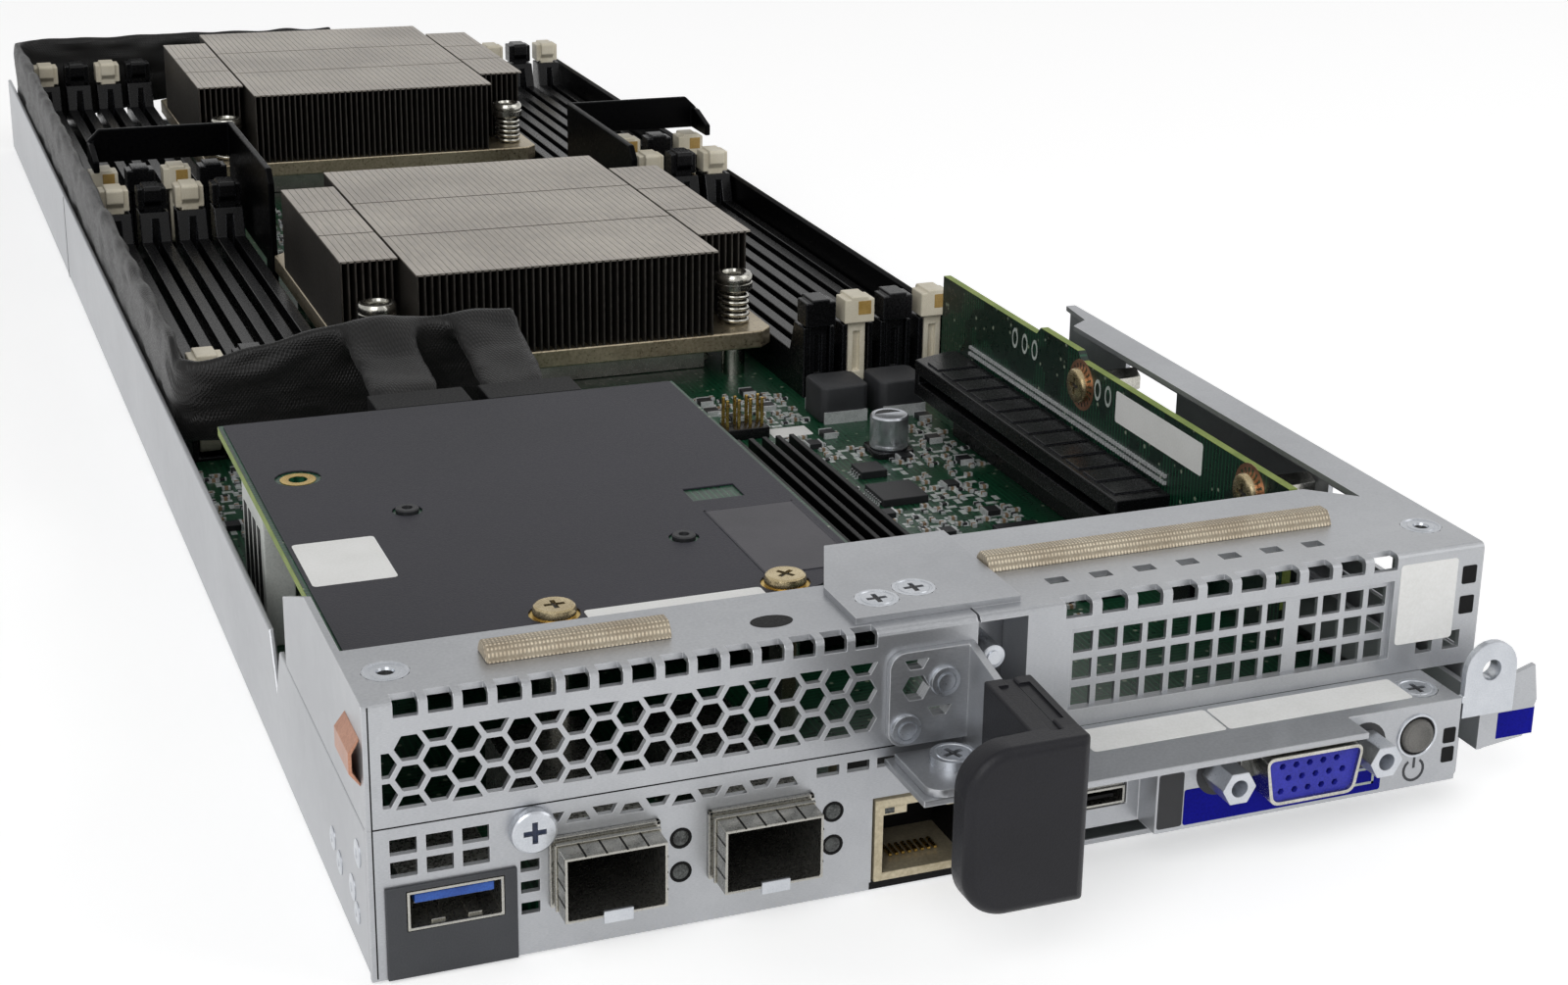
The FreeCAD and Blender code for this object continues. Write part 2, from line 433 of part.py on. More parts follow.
def build_cage():
    top, thick, low = "node_height", "sheet_thick", "cage_bottom"
    window = span("window_left", "window_low", "window_right", "window_high")
    keys = [rectangle(f"ear_hole_left+ear_hole_step*{k}", "window_low", "ear_hole_size", "ear_hole_size")
            for k in (0, 1)]
    face = plate("cage_face", "xz", [span("cage_left", low, SIDE, top), window] + keys, thick,
                 ("0", FRONT, "0"))
    left, far = "grille_right+fit_gap", back("cage_flange_depth")
    step = back("cage_flange_depth-cage_flange_step")
    flange_loop = [(left, FRONT), (SIDE, FRONT), (SIDE, step), ("cage_flange_turn", far), (left, far)]
    seat_hole = ring("corner_screw_x", back("corner_screw_y"), "flat_head+screw_fit")
    flange = plate("cage_flange", "xy", [flange_loop, seat_hole], thick, ("0", "0", f"{top}-{thick}"))
    fold = block("cage_end", ("cage_left", FRONT, low), (thick, "end_flange_depth", f"{top}-{low}"))
    near = back("cage_tab_front")
    tab_loop = [("cage_tab_left", near), ("cage_tab_right", near), ("cage_tab_right", far),
                ("cage_tab_left+cage_tab_slope", far), ("cage_tab_left", back("cage_tab_depth"))]
    tab = plate("cage_tab", "xy", [tab_loop] + [ring(x, y, "flat_head+screw_fit") for x, y in tab_screws()],
                thick, ("0", "0", top))
    windows = [span(back(f"rail_window_y+rail_window_step*{k}"), "rail_window_low",
                    back(f"rail_window_y+rail_window_step*{k}+rail_window_length"),
                    "rail_window_low+rail_window_height") for k in (0, 1)]
    rail = plate("cage_rail", "yz", [span(FRONT, "rail_low", back("rail_depth"), top)] + windows, thick,
                 (INNER, "0", "0"))
    end, hook = back("rail_depth"), back("rail_depth-rail_hook_length")
    lip_loop = [(f"{SIDE}-rail_lip", f"{step}-{thick}"), (SIDE, f"{step}-{thick}"), (SIDE, end),
                (f"{INNER}-{thick}", end),
                (f"{SIDE}-rail_hook", hook), (f"{SIDE}-rail_lip", f"{hook}-rail_hook")]
    lip = plate("cage_lip", "xy", [lip_loop], thick, ("0", "0", f"{top}-{thick}"))
    reach = "fold_slot_reach+cut_over"
    cuts = [block(f"cage_slot_{k}", (f"cage_slot_left+cage_slot_pitch*{k}", ahead("cut_over"),
                                     f"{top}-fold_slot_reach"),
                  ("cage_slot_width", reach, reach)) for k in range(10)]
    cuts += [block(f"cage_punch_{k}", (f"window_left+punch_pitch*{k}", back("punch_y"),
                                       f"{top}-{thick}-cut_over"),
                   ("punch_width", "punch_depth", f"{thick}+2*cut_over")) for k in range(7)]
    keep("slot_cage", cut("slot_cage", fuse("cage_shell", face, flange, fold, tab, rail, lip), *cuts))


def build_cover():
    lap = "cover_lap"
    outline = span(f"window_left-{lap}", f"window_low-{lap}", f"window_right+{lap}", f"window_high+{lap}")
    cover = plate("cover_plate", "xz", [outline], "cover_thick", ("0", back("sheet_thick"), "0"))
    for start, columns in (("grid_left", 9), ("grid_left+9*grid_pitch+grid_gap", 4)):
        square = rectangle(f"{start}-grid_size/2", "grid_low-grid_size/2", "grid_size", "grid_size")
        punch_field(cover, square, columns, "grid_pitch", 3, "grid_row")
    keep("slot_cover", cover)


def build_box():
    thick, top, low = "sheet_thick", "ledge_top", BOARD
    depth, step, tab = ahead("box_depth"), ahead("box_step_depth"), ahead("handle_tab_depth")
    ledge_loop = [("ledge_left", FRONT), ("ledge_left", tab), ("hood_left", tab),
                  ("hood_left", ahead("hood_depth")),
                  ("hood_right", ahead("hood_depth")), ("hood_right", depth), ("box_right", depth),
                  ("box_right", FRONT)]
    seat_hole = ring("ledge_screw_x", ahead("ledge_screw_y"), "flat_head+screw_fit")
    ledge = plate("box_ledge", "xy", [ledge_loop, seat_hole], thick, ("0", "0", f"{top}-{thick}"))
    port = rectangle("vga_x-vga_width/2-fit_gap", "vga_z-vga_height/2-fit_gap", "vga_width+2*fit_gap",
                     "vga_height+2*fit_gap")
    posts = [ring(f"vga_x+{side}*vga_screw_pitch/2", "vga_z", "vga_screw_flat/2+vga_hole_gap", 12)
             for side in (-1, 1)]
    posts.append(ring("button_x", "button_z", "button_radius+button_fit", 24))
    face = plate("box_face", "xz", [span("box_step", low, "box_right", top), port] + posts, thick,
                 ("0", depth, "0"))
    micro = rectangle("micro_x-micro_width/2-fit_gap", "micro_z-micro_height/2-fit_gap",
                      "micro_width+2*fit_gap",
                      "micro_height+2*fit_gap")
    set_back = plate("box_set_back", "xz", [span("box_left", low, f"box_step+{thick}", top), micro], thick,
                     ("0", step, "0"))
    side_loop = span(step, low, FRONT, top)
    left = plate("box_side_left", "yz", [side_loop], thick, ("box_left", "0", "0"))
    jog = plate("box_jog", "yz", [span(depth, low, f"{step}+{thick}", top)], thick, ("box_step", "0", "0"))
    right = plate("box_side_right", "yz", [span(depth, low, FRONT, top)], thick,
                  (f"box_right-{thick}", "0", "0"))
    foot = back("box_foot_y")
    floor_loop = [("box_left", step), ("box_step", step), ("box_step", depth), ("box_right", depth),
                  ("box_right", foot),
                  ("box_left", foot)]
    floor = plate("box_floor", "xy", [floor_loop], thick, ("0", "0", low))
    keep("io_box", fuse("io_box", ledge, face, set_back, jog, left, right, floor))


def build_handle():
    thick, low, high, tip = "handle_thick", "handle_low", "handle_high", ahead("handle_reach")
    foot = plate("handle_foot", "xz", [span("handle_left", low, "handle_right", high)] + foot_holes(),
                 thick, ("0", ahead(thick), "0"))
    middle = number("(handle_left+handle_right)/2")
    soften(foot, "handle_corner", lambda spot, run: abs(run.y) > 0.9 and spot.x < middle
           and abs(spot.x - number("handle_left")) < 0.01)
    arm_loop = [(FRONT, "ledge_top"), (FRONT, high), (tip, f"{high}-handle_slope"), (tip, "ledge_top")]
    arm = plate("handle_arm", "yz", [arm_loop], thick, ("handle_right", "0", "0"))
    left, near, far = "handle_left+handle_tab_inset", ahead(thick), ahead("handle_tab_depth")
    screw_hole = ring("handle_screw_x", ahead("handle_screw_depth"), "shank+screw_fit")
    tab = plate("handle_tab", "xy", [span(left, far, "handle_right", near), screw_hole], thick,
                ("0", "0", "ledge_top"))
    soften(tab, "handle_corner", lambda spot,
           run: abs(run.z) > 0.9 and spot.x < middle and spot.y < number(far) + 0.01)
    keep("handle_bracket", fuse("handle_bracket", foot, arm, tab))

    front, inner = ahead("grip_reach"), ahead("grip_reach-grip_wall")
    right = "handle_right+handle_thick+grip_side"
    bar = plate("grip_bar", "xz", [span("grip_left", "grip_low", right, "grip_high")], "grip_wall",
                ("0", front, "0"))
    soften(bar, "grip_corner", lambda spot, run: abs(run.y) > 0.9 and spot.x < number("grip_left") + 0.01)
    soften(bar, "grip_edge", lambda spot, run: spot.y < 0.01, "Chamfer")
    root, base = ahead("grip_back_y"), "ledge_top+handle_thick+fit_gap"
    cheek_loop = [(inner, base), (root, base), (root, "grip_high+grip_rise"), (inner, "grip_high")]
    cheek = plate("grip_cheek", "yz", [cheek_loop], "handle_thick+2*grip_side",
                  ("handle_right-grip_side", "0", "0"))
    slot = block("grip_slot", ("handle_right-slip_gap", f"{tip}-slip_gap", "0"),
                 ("handle_thick+2*slip_gap", "handle_reach", "2*node_height"))
    keep("handle_grip", cut("handle_grip", fuse("grip_shell", bar, cheek), slot))


def build_ear_and_lever():
    middle, thick, face = "(ear_left+ear_right)/2", "ear_thick", ahead("box_depth")
    tongue = plate("ear_plate", "xz", [span("ear_left", "ear_low", "ear_right", "ear_hole_z")], thick,
                   ("0", face, "0"))
    crown = prism("ear_crown", (middle, face, "ear_hole_z"), "(ear_right-ear_left)/2", thick, "y", 24)
    collar = prism("ear_collar", (middle, f"{face}+{thick}", "ear_hole_z"), "ear_collar",
                   "ear_collar_length", "y", 16)
    root = block("ear_root", ("box_right", face, "ledge_top-sheet_thick"),
                 ("ear_left-box_right+ear_root", thick, "sheet_thick"))
    bore = rod("ear_bore", (middle, f"{face}-cut_over", "ear_hole_z"), "ear_bore",
               f"{thick}+ear_collar_length+2*cut_over", "y")
    keep("lock_ear", cut("lock_ear", fuse("ear_shell", tongue, crown, collar, root), bore))

    thick, x, right, high = "lever_thick", "lever_x", "lever_tip_right", "lever_tip_high"
    arm = plate("lever_arm", "yz", [span(ahead("lever_tip_y"), "lever_low", back("lever_pivot_y"),
                                         "lever_high")], thick,
                (x, "0", "0"))
    tip_loop = [(x, "lever_low"), (f"{right}-lever_tip_bevel", "lever_tip_low"),
                (right, f"{high}-lever_tip_slope"),
                (f"{right}-lever_tip_bevel/2", high), (x, f"lever_high+{thick}")]
    tip = plate("lever_tip", "xz", [tip_loop], thick, ("0", ahead("lever_tip_y"), "0"))
    keep("release_lever", fuse("release_lever", arm, tip))

    bow, mid, flat, skin = "contact_bow", "(contact_low+contact_high)/2", "contact_flat", "contact_thick"
    loop = [("0", "contact_low"), (f"-{bow}", f"{mid}-{flat}"), (f"-{bow}", f"{mid}+{flat}"),
            ("0", "contact_high"),
            ("0", f"contact_high-{skin}"), (f"{skin}-{bow}", f"{mid}+{flat}-{skin}/2"),
            (f"{skin}-{bow}", f"{mid}-{flat}+{skin}/2"), ("0", f"contact_low+{skin}")]
    keep("copper_contact", plate("copper_contact", "xz", [loop], "contact_width",
                                 (f"-{SIDE}", back("contact_y"), "0")))


def tab_screws():
    return [(f"tab_screw_x+tab_screw_step*{k}", back(f"tab_screw_y+tab_screw_shift*{k}")) for k in (0, 1)]


def build_gaskets_and_fasteners():
    top, rise, width, edge = "node_height", "gasket_height", "gasket_width", "gasket_shoulder"
    strips = []
    for side in SIDES:
        left, near = f"gasket_{side}_x", back(f"gasket_{side}_y")
        loop = [(near, top), (f"{near}+{width}", top), (f"{near}+{width}-{edge}", f"{top}+{rise}-{edge}"),
                (f"{near}+{width}-2*{edge}", f"{top}+{rise}"), (f"{near}+2*{edge}", f"{top}+{rise}"),
                (f"{near}+{edge}", f"{top}+{rise}-{edge}")]
        strips.append(plate(f"gasket_{side}", "yz", [loop], f"gasket_{side}_end-{left}", (left, "0", "0")))
    keep("emi_gaskets", group("emi_gaskets", *strips))

    thick = "sheet_thick"
    spots = [(f"{side}*corner_screw_x", back("corner_screw_y"), f"{top}-{thick}") for side in (-1, 1)]
    spots.append(("ledge_screw_x", ahead("ledge_screw_y"), f"ledge_top-{thick}"))
    spots += [(x, y, top) for x, y in tab_screws()]
    screws = [prism(f"flat_screw_{k}", spot, "flat_head", thick, "z", 12) for k, spot in enumerate(spots)]
    x, z = "panel_screw_x", "panel_screw_z"
    screws.append(fuse("panel_screw", prism("panel_screw_head", (x, ahead("pan_height"), z), "pan_head",
                                            "pan_height", "y", 12),
                       prism("panel_screw_stem", (x, FRONT, z), "shank", thick, "y")))
    x, y = "handle_screw_x", ahead("handle_screw_depth")
    screws.append(fuse("tab_screw", prism("tab_screw_head", (x, y, "ledge_top+handle_thick"), "pan_head",
                                          "pan_height", "z", 12),
                       prism("tab_screw_stem", (x, y, "ledge_top"), "shank", "handle_thick")))
    keep("sheet_screws", group("sheet_screws", *screws))

    rivets = []
    for place in ("low", "high"):
        x, z = f"rivet_{place}_x", f"rivet_{place}_z"
        head = prism(f"rivet_head_{place}", (x, ahead("handle_thick+rivet_height"), z), "rivet_head",
                     "rivet_height", "y", 12)
        stem = prism(f"rivet_stem_{place}", (x, ahead("handle_thick"), z), "shank",
                     "handle_thick+sheet_thick", "y")
        rivets.append(fuse(f"rivet_{place}", head, stem))
    keep("handle_rivets", group("handle_rivets", *rivets))


def build_ports():
    usb = tube("usb_shell", "usb_x", ahead("bezel_thick"), BOARD, "usb_width", "usb_height", "usb_depth",
               "usb_shell",
               "usb_back")
    tongue = block("usb_tongue", ("usb_x-usb_width/2+usb_tongue_inset", back("sheet_thick"),
                                  f"{BOARD}+usb_tongue_rise"),
                   ("usb_width-2*usb_tongue_inset", "usb_depth-usb_back", "usb_tongue_thick"))
    keep("usb_port", fuse("usb_port", usb, tongue))
    opening = rectangle("usb_x-usb_width/2-slip_gap", f"{BOARD}-slip_gap", "usb_width+2*slip_gap",
                        "usb_height+2*slip_gap")
    keep("usb_bezel", plate("usb_bezel", "xz", [span("bezel_left", "0", "bezel_right", "bezel_high"),
                                                opening],
                            "bezel_thick", ("0", ahead("bezel_thick"), "0")))
    cages = [tube(f"cage_{x}", x, ahead("cage_proud"), BOARD, "cage_width", "cage_height", "cage_length",
                  "cage_wall",
                  "cage_wall") for x in ("cage_one_x", "cage_two_x")]
    keep("sfp_cages", group("sfp_cages", *cages))
    keep("rj45_jack", tube("rj45_jack", "jack_x", ahead("jack_proud"), "jack_low", "jack_width",
                           "(jack_high-jack_low)",
                           "jack_depth", "jack_wall", "jack_back"))
    keep("micro_usb_port", tube("micro_usb_port", "micro_x", ahead("box_step_depth+micro_proud"),
                                "micro_z-micro_height/2",
                                "micro_width", "micro_height", "micro_depth", "usb_shell", "usb_shell"))
    leds = [prism(f"led_{cage}_{z}", (f"{cage}+led_step_x", ahead("led_proud"), z), "led_radius",
                  "led_length", "y", 12)
            for cage in ("cage_one_x", "cage_two_x") for z in ("led_low", "led_high")]
    keep("status_leds", group("status_leds", *leds))


def d_shape(skin):
    half, rise = f"(vga_width/2-{skin})", f"(vga_height/2-{skin})"
    return [(f"vga_x-{half}+vga_taper", f"vga_z-{rise}"), (f"vga_x+{half}-vga_taper", f"vga_z-{rise}"),
            (f"vga_x+{half}", f"vga_z+{rise}"), (f"vga_x-{half}", f"vga_z+{rise}")]


def build_video_port_and_button():
    face, front = ahead("box_depth"), ahead("box_depth+vga_proud")
    keep("vga_shell", plate("vga_shell_tube", "xz", [d_shape("0"), d_shape("vga_shell")],
                            "vga_proud+vga_depth",
                            ("0", front, "0")))
    insert = plate("vga_insert_block", "xz", [d_shape("vga_shell")], "vga_proud+vga_depth-vga_recess",
                   ("0", f"{front}+vga_recess", "0"))
    for line in (-1, 0, 1):
        shift = "vga_pin_pitch/4" if line == 0 else "-vga_pin_pitch/4"
        hole = ring(f"vga_x-2*vga_pin_pitch+{shift}", f"vga_z+vga_pin_row*{line}", "vga_pin", 6)
        punch_field(insert, hole, 5, "vga_pin_pitch")
    keep("vga_insert", insert)
    posts = []
    for name, side in SIDES.items():
        x = f"vga_x+{side}*vga_screw_pitch/2"
        post = prism(f"jackscrew_body_{name}", (x, front, "vga_z"), "vga_screw_flat/sqrt(3)",
                     "vga_screw_depth", "y")
        hole = rod(f"jackscrew_hole_{name}", (x, f"{front}-cut_over", "vga_z"), "vga_thread",
                   "vga_thread_depth+cut_over", "y")
        posts.append(cut(f"jackscrew_{name}", post, hole))
    keep("vga_jackscrews", group("vga_jackscrews", *posts))
    cap = prism("button_cap", ("button_x", f"{face}-button_proud", "button_z"), "button_radius",
                "button_length", "y", 24)
    collar = prism("button_collar", ("button_x", f"{face}+sheet_thick+fit_gap", "button_z"),
                   "button_flange", "button_flange_thick", "y", 12)
    keep("power_button", fuse("power_button", cap, collar))


def card_posts():
    return [("card_screw_x", "card_screw_y"), ("card_screw_x+card_screw_step", "card_screw_y"),
            ("card_hole_x", "card_hole_y")]


def build_board():
    half, near, thick = f"({INNER}-board_side_gap)", back("board_front_y"), "board_thick"
    bay_left, bay_right = "jack_x-jack_width/2-jack_bay_gap", "jack_x+jack_width/2+jack_bay_gap"
    bay_end, far = back("jack_depth+jack_bay_gap"), f"{BACK}-board_rear_gap"
    areas = {"main": span(f"-{half}", bay_end, half, far), "left": span(f"-{half}", near, bay_left, bay_end),
             "right": span(bay_right, near, half, bay_end)}
    level = ("0", "0", f"{BOARD}-{thick}")
    strips = [plate(f"board_{name}", "xy", [area], thick, level) for name, area in areas.items()]
    keep("motherboard", group("motherboard", *strips))
    posts = [prism(f"standoff_{name}_{k}", (f"{side}*standoff_side",
                                            back(f"standoff_front_y+standoff_pitch*{k}"), "sheet_thick"),
                   "standoff_radius", f"{BOARD}-{thick}-sheet_thick") for name, side in SIDES.items()
             for k in range(4)]
    posts += [prism(f"card_post_{k}", (x, back(y), BOARD), "card_post_radius",
                    f"card_top-card_thick-{BOARD}")
              for k, (x, y) in enumerate(card_posts())]
    keep("board_standoffs", group("board_standoffs", *posts))

    middle = "(chip_sink_left+chip_sink_right)/2"
    chips = [block("chipset", (f"{middle}-chip_size/2", back("chip_sink_y+chip_sink_length/2-chip_size/2"),
                               BOARD),
                   ("chip_size", "chip_size", "chip_thick"))]
    for k, (column, line, share) in enumerate(((0, 0, 1.2), (-1, -1, 0.9), (1, -2, 1.1), (0, 1, 0.7),
                                               (1, -4, 1), (-1, -3, 0.7))):
        size = f"small_chip_size*{share}"
        spot = (f"small_chip_x+small_chip_step*{column}-{size}/2",
                back(f"small_chip_y+small_chip_step*{line}-{size}/2"), BOARD)
        chips.append(block(f"chip_{k}", spot, (size, size, "small_chip_thick")))
    keep("board_chips", group("board_chips", *chips))
    power = []
    for k in (0, 1):
        left, low = f"choke_x+choke_step*{k}-choke_size/2", back("choke_y-choke_size/2")
        choke = plate(f"choke_{k}", "xy", [rectangle(left, low, "choke_size", "choke_size")],
                      "choke_height", ("0", "0", BOARD))
        power.append(soften(choke, "choke_corner", lambda spot, run: abs(run.z) > 0.9, "Chamfer"))
    power.append(prism("board_capacitor", ("cap_x", back("cap_y"), BOARD), "cap_radius", "cap_height",
                       "z", 16))
    keep("board_power_parts", group("board_power_parts", *power))

    low, near = f"({BOARD}+chip_thick)", back("chip_sink_y")
    width = "(chip_sink_right-chip_sink_left)"
    base = block("chip_sink_base", ("chip_sink_left", near, low),
                 (width, "chip_sink_length", "chip_sink_base"))
    count = int(number(f"({width}-chip_sink_fin)/chip_sink_pitch")) + 1
    first = f"{middle}-chip_sink_fin/2-chip_sink_pitch*{(count - 1) / 2}"
    fins = [block(f"chip_fin_{k}", (f"{first}+chip_sink_pitch*{k}", near, low),
                  ("chip_sink_fin", "chip_sink_length", f"chip_sink_top-{low}")) for k in range(count)]
    keep("chipset_heatsink", fuse("chipset_heatsink", base, *fins))

    start = f"{BACK}-board_rear_gap-back_plug_inset"
    plug = block("back_plug_body", ("back_plug_x", start, BOARD),
                 ("back_plug_width", "back_plug_depth", "back_plug_height"))
    room = "(back_plug_width-3*back_pocket_wall)/2"
    pockets = [block(f"back_pocket_{k}", (f"back_plug_x+back_pocket_wall+({room}+back_pocket_wall)*{k}",
                                          f"{start}+back_plug_depth-back_pocket_depth",
                                          f"{BOARD}+(back_plug_height-back_pocket)/2"),
                     (room, "back_pocket_depth+cut_over", "back_pocket")) for k in (0, 1)]
    keep("back_connector", cut("back_connector", plug, *pockets))


def build_processors():
    sockets, chips, wires, screws = [], [], [], []
    seat_z = f"({BOARD}+socket_height)"
    low = f"({seat_z}+cpu_thick)"
    top = f"({low}+sink_base)"
    corners = [(right, far) for right in (-1, 1) for far in (-1, 1)]
    for name, y in CPU_Y.items():
        left, near = "axis_x-socket_size/2", f"{y}-socket_size/2"
        frame = block(f"socket_frame_{name}", (left, near, BOARD),
                      ("socket_size", "socket_size", "socket_height+cpu_thick-socket_lip"))
        room = block(f"socket_room_{name}", ("axis_x-cpu_size/2-fit_gap", f"{y}-cpu_size/2-fit_gap",
                                             seat_z),
                     ("cpu_size+2*fit_gap", "cpu_size+2*fit_gap", "cpu_thick+cut_over"))
        sockets.append(cut(f"socket_{name}", frame, room))
        chips.append(block(f"cpu_{name}", ("axis_x-cpu_size/2", f"{y}-cpu_size/2", seat_z),
                           ("cpu_size", "cpu_size", "cpu_thick")))
        wires += [prism(f"wire_{name}_{side}", (f"axis_x+{sign}*(socket_size/2+socket_lever_radius)",
                                                f"{near}+socket_lever_inset",
                                                f"{BOARD}+socket_lever_rise"), "socket_lever_radius",
                        "socket_size-2*socket_lever_inset", "y", 8)
                  for side, sign in SIDES.items()]
        half_x, half_y, bevel = "sink_width/2", "sink_length/2", "sink_corner"
        outline = []
        for right, far in ((-1, -1), (1, -1), (1, 1), (-1, 1)):
            ends = [(f"axis_x+{right}*({half_x}-{bevel})", f"{y}+{far}*{half_y}"),
                    (f"axis_x+{right}*{half_x}", f"{y}+{far}*({half_y}-{bevel})")]
            outline += ends if right * far < 0 else ends[::-1]
        holes = [ring(f"axis_x+{right}*sink_screw_pitch/2", f"{y}+{far}*sink_screw_pitch/2",
                      "sink_stud_radius+slip_gap", 6)
                 for right, far in corners]
        base = plate(f"sink_base_{name}", "xy", [outline] + holes, "sink_base", ("0", "0", low))
        fins = []
        count = int(number("(sink_width-fin_thick)/fin_pitch")) + 1
        for k in range(count):
            shift = f"fin_pitch*{k - (count - 1) / 2}"
            length = "sink_length" if abs(number(shift)) < number("sink_mid_width/2") else "sink_side_length"
            spot = (f"axis_x-fin_thick/2+{shift}", f"{y}-{length}/2", top)
            fins.append(block(f"fin_{name}_{k}", spot, ("fin_thick", length, f"sink_top-{top}")))
        keep(f"heatsink_{name}", fuse(f"heatsink_{name}", base, *fins))
        for k, (right, far) in enumerate(corners):
            x, depth = f"axis_x+{right}*sink_screw_pitch/2", f"{y}+{far}*sink_screw_pitch/2"
            stud = prism(f"stud_{name}_{k}", (x, depth, BOARD), "sink_stud_radius", f"{top}-{BOARD}")
            coil = prism(f"coil_{name}_{k}", (x, depth, top), "sink_spring_radius",
                         f"sink_screw_top-sink_screw_cap-{top}", "z", 8)
            cap = prism(f"cap_{name}_{k}", (x, depth, "sink_screw_top-sink_screw_cap"), "sink_screw_radius",
                        "sink_screw_cap", "z", 12)
            screws.append(fuse(f"sink_screw_{name}_{k}", stud, coil, cap))
    keep("cpu_sockets", group("cpu_sockets", *sockets))
    keep("processors", group("processors", *chips))
    keep("socket_levers", group("socket_levers", *wires))
    keep("heatsink_screws", group("heatsink_screws", *screws))


def build_socket():
    """One memory socket: grooved body with a tower and a latch slot at each end."""
    half, width, tower, slope = "dimm_length/2", "dimm_width", "dimm_tower", "dimm_tower_slope"
    body, high = f"{BOARD}+dimm_body", f"{BOARD}+dimm_tower_high"
    side_loop = [(f"-{half}", BOARD), (half, BOARD), (half, high), (f"{half}-{tower}+{slope}", high),
                 (f"{half}-{tower}", body),
                 (f"-{half}+{tower}", body), (f"-{half}+{tower}-{slope}", high), (f"-{half}", high)]
    shell = plate("dimm_shell", "yz", [side_loop], width, (f"-{width}/2", "0", "0"))
    room = "latch_inset+latch_thick+latch_fit"
    cuts = [block(f"dimm_room_{name}", (f"-({width}/2-dimm_cheek)", start, f"{BOARD}+dimm_floor"),
                  (f"{width}-2*dimm_cheek", f"{room}+cut_over", "dimm_tower_high"))
            for name, start in (("front", f"-{half}-cut_over"), ("rear", f"{half}-({room})"))]
    cuts.append(block("dimm_groove_cut", ("-dimm_groove/2", f"-{half}+groove_end",
                                          f"{body}-dimm_groove_depth"),
                      ("dimm_groove", "dimm_length-2*groove_end", "dimm_tower_high")))
    return cut("dimm_socket", shell, *cuts)


def build_latch():
    """One latch, upright in its tower: a lever turning on a round foot, with a wide thumb head towards -Y."""
    near, far, top = "-latch_thick/2", "latch_thick/2", f"{BOARD}+latch_top"
    pivot, neck = f"{BOARD}+latch_pivot", f"{top}-latch_head"
    loop = [(near, pivot), (far, pivot), (far, neck), (f"{far}+latch_beak", f"{neck}+latch_beak"),
            (f"{far}+latch_beak", f"{top}-latch_edge"), (f"{far}+latch_beak-latch_edge", top),
            (f"{near}-latch_thumb", top), (f"{near}-latch_thumb", f"{top}-latch_beak"), (near, neck)]
    inner = "(dimm_width-2*dimm_cheek-2*latch_fit)"
    lever = plate("latch_lever", "yz", [loop], inner, (f"-{inner}/2", "0", "0"))
    foot = prism("latch_foot", (f"-{inner}/2", "0", pivot), "latch_thick/2", inner, "x", 12)
    low = f"{BOARD}+dimm_tower_high+latch_fit"
    head_loop = span(f"{near}-latch_thumb", low, far, f"{top}-latch_edge")
    head = plate("latch_head", "yz", [head_loop], "latch_head_width", ("-latch_head_width/2", "0", "0"))
    slot = block("latch_slot", ("-latch_slot_width/2", f"{near}-cut_over", f"{BOARD}+latch_slot_low"),
                 ("latch_slot_width", "latch_slot_depth+cut_over", "latch_slot_high-latch_slot_low"))
    return cut("latch", fuse("latch_shell", lever, foot, head), slot)


def build_memory():
    socket, latch = build_socket(), build_latch()
    mirrored = doc.addObject("Part::Mirroring", "latch_mirrored")
    mirrored.Source = latch
    mirrored.Normal = FreeCAD.Vector(0, 1, 0)
    inset = "(dimm_length/2-latch_thick/2-latch_inset)"
    for bank, y in BANK_Y.items():
        for side, sign in SIDES.items():
            columns = [f"axis_x+{sign}*(dimm_inner_x+dimm_pitch*{k})" for k in range(4)]
            label = f"memory_sockets_{bank}_{side}"
            keep(label, repeat(label, socket, [(x, y, "0") for x in columns]))
            for end, source, shift in (("front", latch, f"{y}-{inset}"),
                                       ("rear", mirrored, f"{y}+{inset}")):
                label = f"latches_{bank}_{side}_{end}"
                keep(label, repeat(label, source, [(x, shift, "0") for x in columns]))


